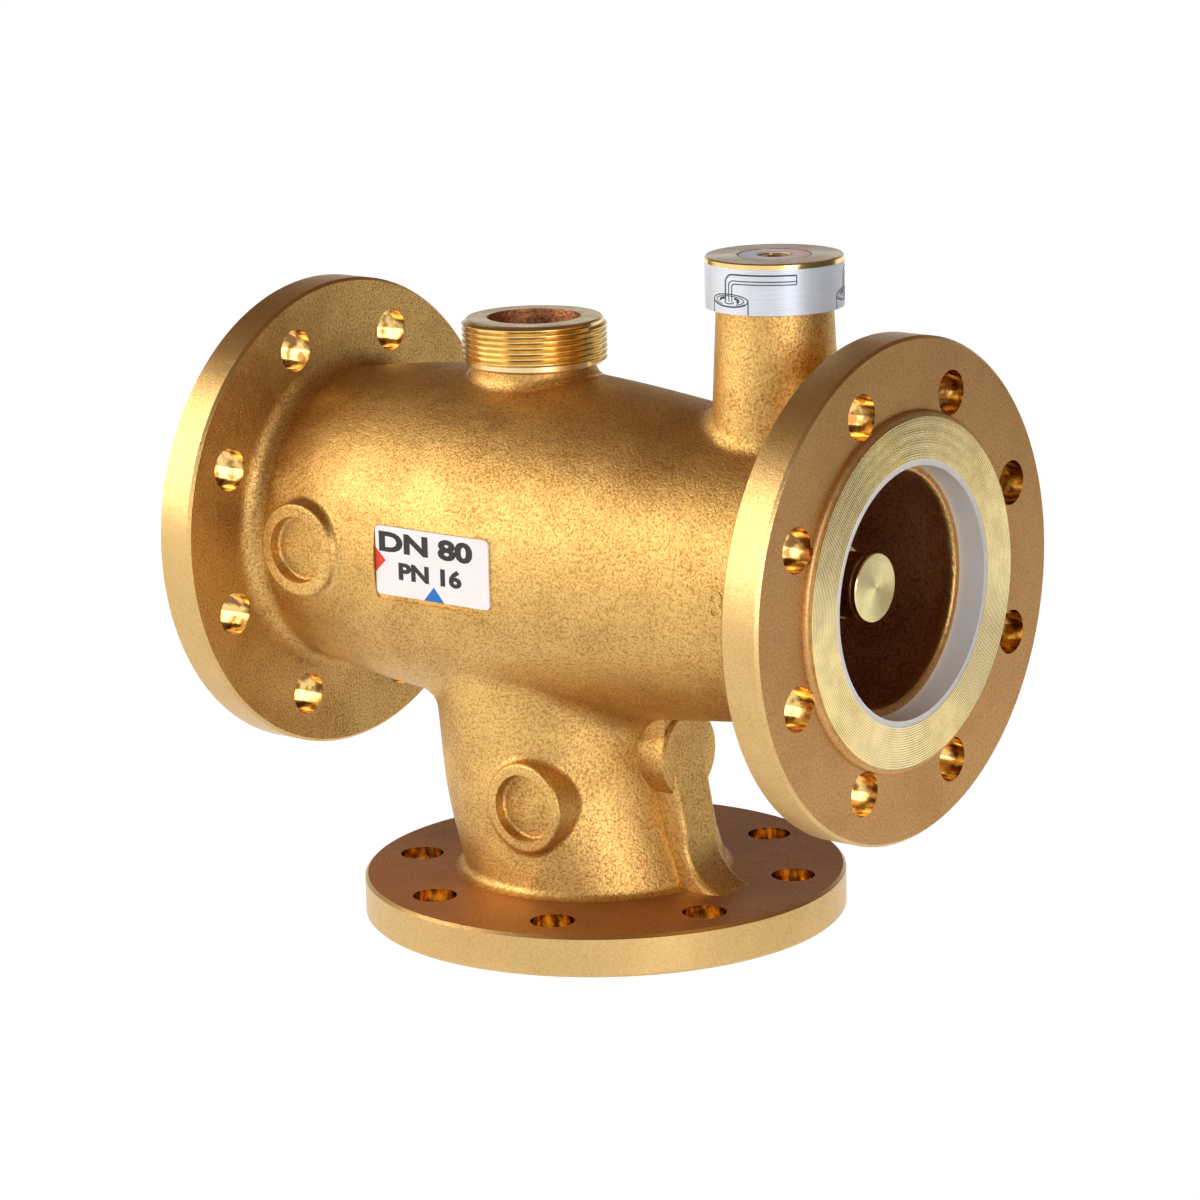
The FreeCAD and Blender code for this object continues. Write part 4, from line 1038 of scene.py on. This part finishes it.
@dataclass
class FrontLabel:
    """White name-plate in its pocket, with generic size marks and the hot and cold arrows."""

    print_height: float = 0.05 * MM
    bold: float = 0.045
    # words, middle across, middle up, width, height
    lines: tuple[tuple[str, float, float, float, float], ...] = (
        ("DN 80", 26.5 * MM, 22.0 * MM, 49.0 * MM, 8.6 * MM),
        ("PN 16", 28.5 * MM, 10.6 * MM, 33.0 * MM, 7.4 * MM))
    hot_arrow: Flat = (10.2 * MM, 5.3 * MM)
    cold_arrow: Flat = (10.6 * MM, 6.0 * MM)
    cold_middle: float = 30.4 * MM

    def build(self) -> None:
        """Dress the plate and print it."""
        low, high = (Vector(c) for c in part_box("front_label"))
        # white plastic film: clean, flat and a little glossy
        dress("front_label", coat(PaintedFilm("printed_film_white", "#F6F7FA")))
        # screen-printed inks: solid colour, duller than the film
        ink = coat(PaintedFilm("printed_ink_black", "#221C1A", roughness=0.4))
        for number, (words, across, up, width, height) in enumerate(self.lines, 1):
            data = words_mesh(words, width, height, self.print_height, self.bold)
            data.transform(Matrix.Translation((low.x + across, low.y, low.z + up)) @ UPRIGHT)
            add_piece("label_line_%d" % number, data, [ink])

        def on_plate(across: float, up: float, off: float) -> Vector:
            """Place a printed point on the plate."""
            return Vector((low.x + across, low.y - off, low.z + up))

        middle = (high.z - low.z) / 2
        base, reach = self.hot_arrow
        hot = [(0.0, middle - base / 2), (reach, middle), (0.0, middle + base / 2)]
        base, reach = self.cold_arrow
        tip = self.cold_middle
        cold = [(tip - base / 2, 0.0), (tip + base / 2, 0.0), (tip, reach)]
        for name, outline, colour in (("hot_arrow", hot, "#E2391F"), ("cold_arrow", cold, "#0A72C8")):
            finish = coat(PaintedFilm("printed_" + name, colour, roughness=0.4))
            data = slab(name, outline, self.print_height, on_plate)
            add_piece(name, data, [finish])


@dataclass
class Head:
    """Adjusting head: brass cover with its dial, brushed band with its drawings, spindle and housing."""

    band_r: float = 27.3 * MM
    band_top: float = 280.4 * MM
    middle_angle: float = -94.7
    drawing_count: int = 3
    # the drawing of a hex key in a socket screw, in millimetres below the band's top
    thin: float = 0.42
    screw_r: float = 8.7
    screw_top: float = -12.4
    screw_end: float = -17.6
    key_end: float = -12.8
    arm_length: float = 27.9
    # the key's edges: left, top, bend, line width
    key_edges: tuple[tuple[float, float, float, float], ...] = (
        (-1.7, -2.2, 3.6, 0.62), (0.0, -4.6, 2.2, 0.42), (1.5, -5.8, 1.4, 0.42))
    # the screw's rings: half width, half height, drop, first angle, last angle, parts, line width
    screw_rings: tuple[tuple[float, float, float, float, float, int, float], ...] = (
        (8.7, 2.45, 0.0, 0.0, 360.0, 48, 0.42), (8.7, 2.5, 0.0, 195.0, 330.0, 24, 0.62),
        (6.9, 1.8, 0.0, -60.0, 240.0, 36, 0.336), (4.6, 1.1, 0.0, 118.0, 195.0, 10, 0.9),
        (4.6, 1.1, 0.0, -35.0, 55.0, 10, 0.9), (2.3, 0.8, 0.5, 180.0, 360.0, 10, 0.42))
    dial_ring_radii: Flat = (14.35 * MM, 6.9 * MM)
    dial_line_width: float = 0.4 * MM
    dial_line_sink: float = 0.04 * MM
    dial_line_height: float = 0.1 * MM

    def on_band(self, across: float, up: float, off: float) -> Vector:
        """Place a point by its arc from the drawn screw, its height over the band's top and its gap."""
        angle, reach = math.radians(self.middle_angle) + across / self.band_r, self.band_r + off
        return Vector((reach * math.cos(angle), reach * math.sin(angle), self.band_top + up))

    def drawing(self) -> list[tuple[list[Flat], float]]:
        """Draw a hex key in a socket screw.

        Returns:
            Each line's points and width.
        """
        lines = []
        for left, top, bend, width in self.key_edges:
            corner = arc_line((left + bend, top - bend), (bend, bend), 180.0, 90.0, 10)
            lines.append(([(left, self.key_end)] + corner + [(self.arm_length, top)], width))
        lines.append(([(self.arm_length, self.key_edges[i][1]) for i in (0, -1)], self.thin))
        for half_width, half_height, drop, start, end, parts, width in self.screw_rings:
            ring = arc_line((0.0, self.screw_top - drop), (half_width, half_height), start, end, parts)
            lines.append((ring, width))
        for x in (-self.screw_r, self.screw_r):
            lines.append(([(x, self.screw_top), (x, self.screw_end)], self.thin))
        return [([(a * MM, b * MM) for a, b in line], width * MM) for line, width in lines]

    def build(self) -> None:
        """Dress the head."""
        # brass turned bright: a sharp, warm gloss on edges
        bright = coat(TurnedMetal("turned_brass_bright", "#F8DC92", Axis.UPRIGHT, HEAD_AXIS, roughness=0.16))
        # brass faced with a coarse feed, with rings that spread the light; its near-white colour is painted
        # light for the cover's upward top
        matt = coat(TurnedMetal("turned_brass_top_painted_light", "#FBF3DC", Axis.UPRIGHT, HEAD_AXIS, roughness=0.3,
                                depth=0.04 * MM))
        # spindle brass: darker and duller than the cover
        darker_spindle_brass = coat(TurnedMetal("turned_brass_spindle", "#C99A50", Axis.UPRIGHT, HEAD_AXIS, roughness=0.3))
        # thin blue-black ink on metal: flat and matt
        ink = coat(PaintedFilm("drawing_ink", "#2A2E33", roughness=0.45))
        # the cover's upward faces get the near-white painted-light brass, the rest the bright brass
        dress("cover_disc", bright, matt, choose=lambda middle, normal: int(normal.z > FLAT_FACING))
        dress("spindle_housing", bright)
        dress("adjusting_spindle", darker_spindle_brass)
        # aluminium foil with level brush strokes: pale blue-silver that stays even round the band
        dress("scale_band", coat(BrushedBand("brushed_foil_band", "#DEE9F6", roughness=0.42)))
        # printed film: white between a blue and a pink side
        dress("dial_label", coat(TintedDial("printed_dial_film", "#C6D4F2", "#F6C8CE", HEAD_AXIS)))
        paint(RUBBER, "spindle_o_ring_lower", "spindle_o_ring_upper")
        paint(SPRING_STEEL, "spindle_circlip")
        data = repeated("band_drawings", strokes_mesh("band_drawing", self.drawing(), self.on_band),
                        self.drawing_count, ink)
        data.transform(Matrix.Translation(HEAD_AXIS))
        add_piece("band_drawings", data, [ink])
        half, sink, height = self.dial_line_width / 2, self.dial_line_sink, self.dial_line_height
        section = [(-half, -sink), (half, -sink), (half, height), (-half, height)]
        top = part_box("dial_label")[1][2]
        for number, radius in enumerate(self.dial_ring_radii, 1):
            ring = swept("dial_ring", section, radius, ink, steps=96)
            ring.transform(Matrix.Translation(HEAD_AXIS + Vector((0.0, 0.0, top))))
            add_piece("dial_ring_%d" % number, ring, [ink])


@dataclass
class Inside:
    """Everything in the waterway: carrier, cages, slide, element, springs and seals."""

    pitch: float = 0.5 * MM
    depth: float = 0.03 * MM

    def brass(self, name: str, colour: str, roughness: float) -> Material:
        """Give turned brass with rings about the barrel's axis."""
        return coat(TurnedMetal(name, colour, Axis.BARREL, BARREL_AXIS, roughness, self.pitch, self.depth))

    def build(self) -> None:
        """Dress the parts."""
        # the cap's faced end catches the light: very pale, with fan-shaped rings
        pale = self.brass("turned_brass_cap_face", "#FFF0B0", 0.22)
        # its edge, finished finer: yellower and glossier
        bright = self.brass("turned_brass_cap_edge", "#F6DE98", 0.18)
        # working brass in water: ordinary yellow with a satin gloss
        plain = self.brass("turned_brass_plain", "#D8B66E", 0.26)
        # polished ring: nearly white, with clear reflections
        polished = self.brass("polished_brass_ring", "#F2EBD2", 0.14)
        dress("carrier_cap", bright, pale, choose=lambda middle, normal: int(normal.x > FLAT_FACING))
        dress("carrier_ring", polished)
        # moulded acetal: opaque white and slightly waxy; the guide bush's copy is greyer
        ring = coat(PaintedFilm("moulded_acetal_ring", "#F3F4F2", roughness=0.4, pebble=1.2 * MM))
        bush = coat(PaintedFilm("moulded_acetal_bush", "#C9CDD0", roughness=0.45))
        # spun stainless steel: cool grey with a soft sheen
        steel = coat(DrawnSteel("stainless_spun", "#C4C6CA"))
        for finish, nodes in (
                (plain, ("carrier_tube", "carrier_lock_nut", "cold_seat_ring", "element_nut",
                         "overtravel_plunger", "wax_element")),
                (ring, ("outlet_ring",)), (bush, ("guide_bush",)),
                (coat(Skin.LIP.value), ("guide_bridge", "hot_cage")),
                (steel, ("slide_spool", "spring_seat", "element_piston"))):
            for node in nodes:
                dress(node, finish)
        coil("return_spring", "housing", "slide", "spring_seat")
        coil("overtravel_spring", "carrier", "plunger", "overtravel_plunger")
        paint(SPRING_STEEL, "cage_circlip", "bridge_ring")
        paint(RUBBER, "hot_seat_washer", "cage_o_ring", "slide_o_ring", "cold_seat_washer",
              "cold_seat_o_ring", "housing_gasket")


# ---- stage

@dataclass(frozen=True)
class Lamp:
    """Rectangular lamp: where it hangs, its width and height, its watts and its colour."""

    name: str
    place: Vector
    size: Flat
    power: float
    colour: str


@dataclass
class Studio:
    """Floor, lamps, world and camera."""

    floor_r: float = 9.0
    floor_sides: int = 96
    floor_sink: float = 0.2 * MM
    floor_grey: float = 0.82
    # share of the floor's own glow where it is seen or mirrored: white, yet with a faint shadow
    glow_share: float = 0.88
    glow: float = 1.16
    azimuth: float = 38.217
    elevation: float = 13.186
    roll: float = -1.265
    camera_place: Point = (1.05147, -1.33524, 0.53095)
    lens: float = 127.667
    aim_height: float = 0.15
    lamps: tuple[Lamp, ...] = (Lamp("key", Vector((-0.95, -1.05, 0.8)), (1.5, 1.1), 19.0, "#FFFAF2"),
                               Lamp("fill", Vector((1.6, -0.75, 0.4)), (0.7, 0.7), 13.0, "#F8F9FF"))
    card_x: float = 0.75
    card_y: Flat = (-0.2, 1.4)
    card_height: float = 0.8
    card_colour: str = "#77726C"

    def lay(self, name: str, corners: Sequence[Vector], material: Material) -> None:
        """Lay one flat face, given by its corners in order, that isn't part of the valve."""
        link(name, from_points(name, corners, [range(len(corners))]), material)

    def floor(self) -> None:
        """Lay a large white floor that keeps a faint shadow."""
        material, add, _ = new_material("white_floor")
        path = add("LightPath")
        seen = add("Math", CLAMPED_SUM, in0=path.outputs["Is Camera Ray"], in1=path.outputs["Is Glossy Ray"])
        seen = add("Math", CLAMPED_SUM, in0=seen, in1=path.outputs["Is Transmission Ray"])
        share = add("Math", {"operation": "MULTIPLY"}, in0=seen, in1=self.glow_share)
        matt = add("BsdfDiffuse", Color=(self.floor_grey,) * 3 + (1.0,))
        glow = add("Emission", Color=WHITE, Strength=self.glow)
        mixed = add("MixShader", in0=share, in1=matt, in2=glow)
        add("OutputMaterial", Surface=mixed)
        angles = [2 * math.pi * i / self.floor_sides for i in range(self.floor_sides)]
        rim = [Vector((self.floor_r * math.cos(a), self.floor_r * math.sin(a), -self.floor_sink))
               for a in angles]
        self.lay("floor", rim, material)

    def card(self) -> None:
        """Stand a matt card beside the valve, out of view, to shade its reflections."""
        material, add, _ = new_material("side_card")
        matt = add("BsdfDiffuse", Color=linear(self.card_colour))
        add("OutputMaterial", Surface=matt)
        (near, far), top = self.card_y, self.card_height
        corners = [Vector((self.card_x, y, z)) for y, z in ((near, 0.0), (far, 0.0), (far, top), (near, top))]
        self.lay("side_card", corners, material)

    def hang(self, lamp: Lamp) -> None:
        """Hang a lamp so that it faces the valve.

        Args:
            lamp: the lamp.
        """
        light = bpy.data.lights.new(lamp.name, "AREA")
        light.shape = "RECTANGLE"
        light.size, light.size_y = lamp.size
        light.energy = lamp.power
        light.color = linear(lamp.colour)[:3]
        holder = link(lamp.name, light)
        holder.location = lamp.place
        ahead = Vector((0.0, 0.0, self.aim_height)) - lamp.place
        holder.rotation_euler = ahead.to_track_quat("-Z", "Y").to_euler()

    def world(self) -> None:
        """Light from all round: pale at the horizon and dim overhead."""
        world = bpy.data.worlds.new("studio")
        world.use_nodes = True
        world.node_tree.nodes.clear()
        add = partial(add_node, world.node_tree)
        way = add("TexCoord").outputs["Generated"]
        height = add("SeparateXYZ", Vector=way).outputs["Z"]
        level = add("MapRange", {"interpolation_type": "SMOOTHSTEP"}, Value=height, From_Min=-0.02,
                    From_Max=0.5, To_Min=0.86, To_Max=0.2)
        warmth = add("MapRange", {"interpolation_type": "SMOOTHSTEP"}, Value=height, From_Min=0.12,
                     From_Max=0.6, To_Min=0.0, To_Max=1.0)
        tone = add("Mix", BLEND, in0=warmth, in6=WHITE, in7=linear("#F2B88C"))
        sky = add("Background", Color=tone.outputs[2], Strength=level)
        add("OutputWorld", Surface=sky)
        bpy.context.scene.world = world

    def camera(self) -> None:
        """Set the camera."""
        azimuth, elevation, roll = (math.radians(a) for a in (self.azimuth, self.elevation, self.roll))
        lens = bpy.data.cameras.new("camera")
        lens.lens = self.lens
        lens.sensor_width = 36.0
        lens.clip_end = 50.0
        camera = link("camera", lens)
        camera.matrix_world = (Matrix.Translation(self.camera_place) @ Matrix.Rotation(azimuth, 4, "Z")
                               @ Matrix.Rotation(math.pi / 2 - elevation, 4, "X")
                               @ Matrix.Rotation(roll, 4, "Z"))
        bpy.context.scene.camera = camera

    def build(self) -> None:
        """Set the whole stage."""
        bpy.context.scene.view_settings.view_transform = "Standard"
        self.floor()
        self.world()
        self.camera()
        for lamp in self.lamps:
            self.hang(lamp)
        self.card()


def main() -> None:
    """Build the stage and dress every piece."""
    logging.basicConfig(level=logging.INFO, format="%(message)s")
    Studio().build()
    for part in (Casting(), Port(), FrontLabel(), Head(), Inside()):
        log.info("building %s", type(part).__name__)
        part.build()


if __name__ == "__main__":
    main()
